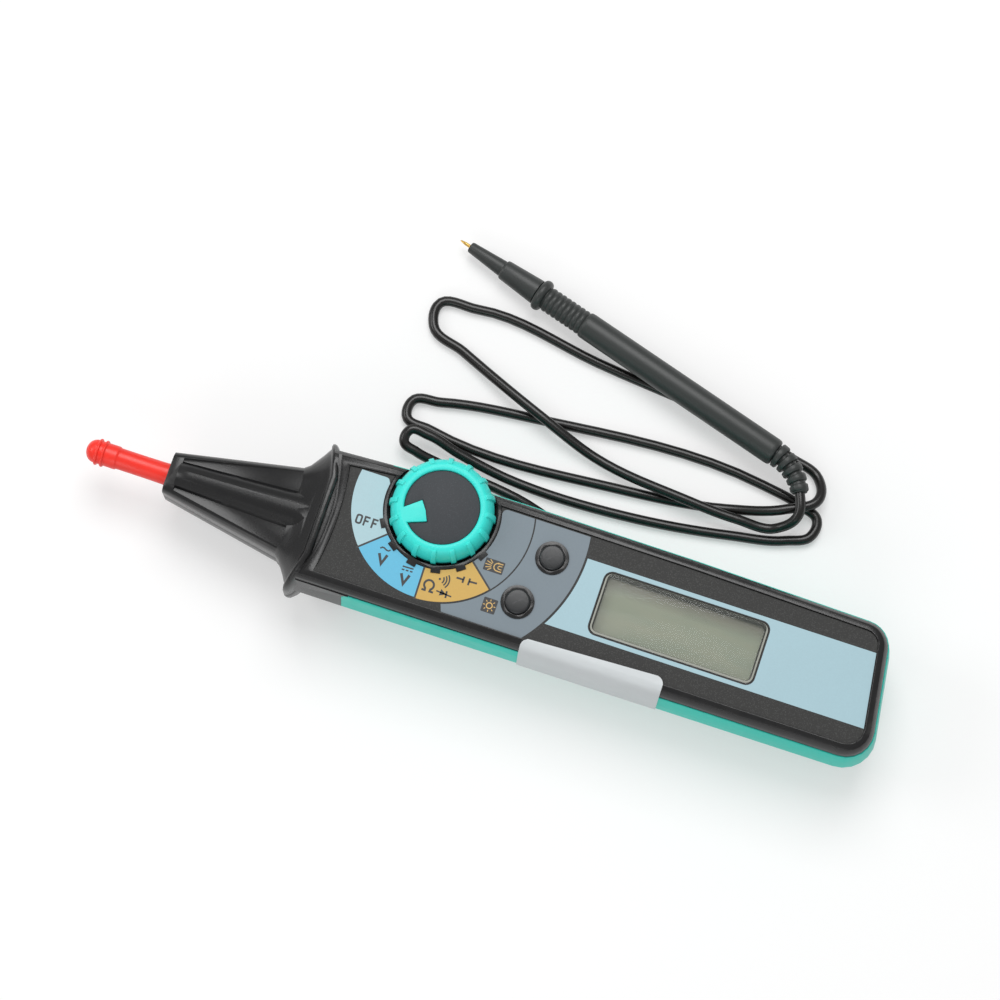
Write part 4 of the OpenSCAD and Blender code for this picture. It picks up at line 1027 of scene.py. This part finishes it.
# %% Painted highlight round the pane
# Painted highlight: a pale ring laid flat round the pane stands in for light on the
# window's chamfered edge. It is almost absent on the far side, which is in shade.
painted_pane_highlight = printed("painted_pane_highlight", [window_loop(-0.1, -0.1, 0),
                                  window_loop(-0.9, -0.6, -0.4, shift=0.2)])
hand_over(painted_pane_highlight, "meter", "panel_print", PANE_HIGHLIGHT_PAINT)

# %% [markdown]
# ## Signs on the dial
# The signs are plain ones that any such meter has: OFF, alternating and direct volts,
# ohms, a beep, a diode, a capacitor, a torch and a sun. Each line is a stroke of even
# width, drawn as an outline round its middle line. The letters of OFF are outlines
# too: an O is one rounded box inside another, and an F is a single bent outline.

# %% Strokes
BOLD, HEAVY, LINE, FINE, RAY = 0.66, 0.5, 0.44, 0.34, 0.2
SHARPEST_MITRE = 0.45


def stroke(points, width):
    points = [Vector(p) for p in points]
    left, right = [], []
    for i, point in enumerate(points):
        before = (point - points[i - 1]).normalized() if i else None
        after = (points[i + 1] - point).normalized() if i + 1 < len(points) else None
        way = ((before or after) + (after or before)).normalized()
        reach = width / 2 / max(SHARPEST_MITRE, way.dot(before or after))
        side = Vector((-way.y, way.x)) * reach
        left.append(tuple(point + side))
        right.append(tuple(point - side))
    return [left + right[::-1]]


def rays(x, y, inner, outer, angles):
    return [stroke([(x + along * cos(radians(a)), y + across * sin(radians(a)))
                    for along, across in (inner, outer)], RAY) for a in angles]


# %% Letters
LETTER_W, LETTER_H, LETTER_PITCH = 1.6, 2.4, 1.97
WORD_X, WORD_Y = -18.85, 0.85


def letter_o(x, y):
    middle = (x + LETTER_W / 2, y + LETTER_H / 2)
    return [rounded_box(*middle, LETTER_W, LETTER_H, 0.62),
            rounded_box(*middle, LETTER_W - 2 * LINE, LETTER_H - 2 * LINE, 0.26)]


def letter_f(x, y):
    right, arm = x + 0.86 * LETTER_W, y + 0.42 * LETTER_H
    top = y + LETTER_H
    return [[(x, y), (x + LINE, y), (x + LINE, arm), (right - 0.2, arm),
             (right - 0.2, arm + LINE), (x + LINE, arm + LINE), (x + LINE, top - LINE),
             (right, top - LINE), (right, top), (x, top)]]


off_word = [letter_o(WORD_X, WORD_Y)] + [letter_f(WORD_X + i * LETTER_PITCH, WORD_Y)
                                         for i in (1, 2)]

# %% Signs
TORCH_X, TORCH_Y = 16.6, 1.38
SUN_X, SUN_Y = 17.6, -7.9
separators = [stroke([dial_arc(13.95, a, a, 1)[0], dial_arc(22.0, a, a, 1)[0]], LINE)
              for a in (OFF_EDGE, VOLT_EDGE, OHM_EDGE)]
volt_ac = [stroke([(-10.85, -4.2), (-9.7, -6.5), (-8.9, -4.1)], BOLD),
           stroke([(-11.05, -3.0), (-10.6, -2.62), (-10.1, -2.66), (-9.5, -3.0),
                   (-9.0, -3.05), (-8.55, -2.7)], FINE)]
volt_dc = [stroke([(-4.4, -7.1), (-3.25, -9.4), (-2.4, -7.0)], BOLD),
           stroke([(-4.65, -5.4), (-2.0, -5.3)], FINE),
           stroke([(-4.65, -6.14), (-4.0, -6.12)], FINE),
           stroke([(-3.65, -6.1), (-3.0, -6.08)], FINE),
           stroke([(-2.65, -6.06), (-2.0, -6.04)], FINE)]
ohm = [stroke([(1.25, -9.15), (2.05, -9.15)] + arc(2.65, -7.7, 1.15, 235, -55, 20)
              + [(3.25, -9.15), (4.1, -9.15)], HEAVY)]
beep = [[circle_loop(4.6, -5.55, 0.28, 16)]] + [
    stroke(arc(4.5, -5.6, radius, -40, 40), FINE) for radius in (1.1, 1.75, 2.4)]
diode = [stroke([(4.7, -8.45), (8.5, -8.75)], FINE),
         [[(5.7, -7.7), (7.15, -8.62), (5.6, -9.35)]],
         stroke([(7.1, -7.8), (7.25, -9.45)], LINE)]
capacitor = [stroke([(8.2, -4.0), (9.9, -3.95)], LINE),
             stroke([(9.9, -3.2), (9.9, -4.75)], LINE),
             stroke([(11.3, -3.2), (11.3, -4.9)], LINE),
             stroke([(11.3, -3.95), (13.2, -3.85)], LINE)]
plates = [[rounded_box(15.7, TORCH_Y, 4.7, 3.0, 0.25)],
          [rounded_box(SUN_X, SUN_Y, 3.4, 3.5, 0.25)]]
torch = [stroke([(17.7, 2.3), (TORCH_X, 2.3)] + arc(TORCH_X, TORCH_Y, 0.92, 90, 270)
                + [(17.7, 0.46)], 0.24),
         stroke([(17.6, 1.75), (17.0, 1.75)] + arc(17.0, TORCH_Y, 0.37, 90, 270, 8)
                + [(17.6, 1.01)], 0.18)]
torch += rays(15.3, TORCH_Y, (0.2, 0.75), (1.75, 1.5), (120, 150, 180, 210, 240))
sun = [[circle_loop(SUN_X, SUN_Y, 0.82, 24), circle_loop(SUN_X, SUN_Y, 0.56, 24)]]
sun += rays(SUN_X, SUN_Y, (1.05, 1.05), (1.5, 1.5), range(0, 360, 45))

# %% Print the signs
marks = [printed(f"mark_{i}", loops, 1) for i, loops in enumerate(
    separators + off_word + volt_ac + volt_dc + ohm + beep + diode + capacitor + plates)]
hand_over(join_pieces("print_marks", marks), "meter", "panel_print", MARK_INK)
lights = [printed(f"light_{i}", loops, 2) for i, loops in enumerate(torch + sun)]
hand_over(join_pieces("print_lights", lights), "meter", "panel_print", AMBER_INK)
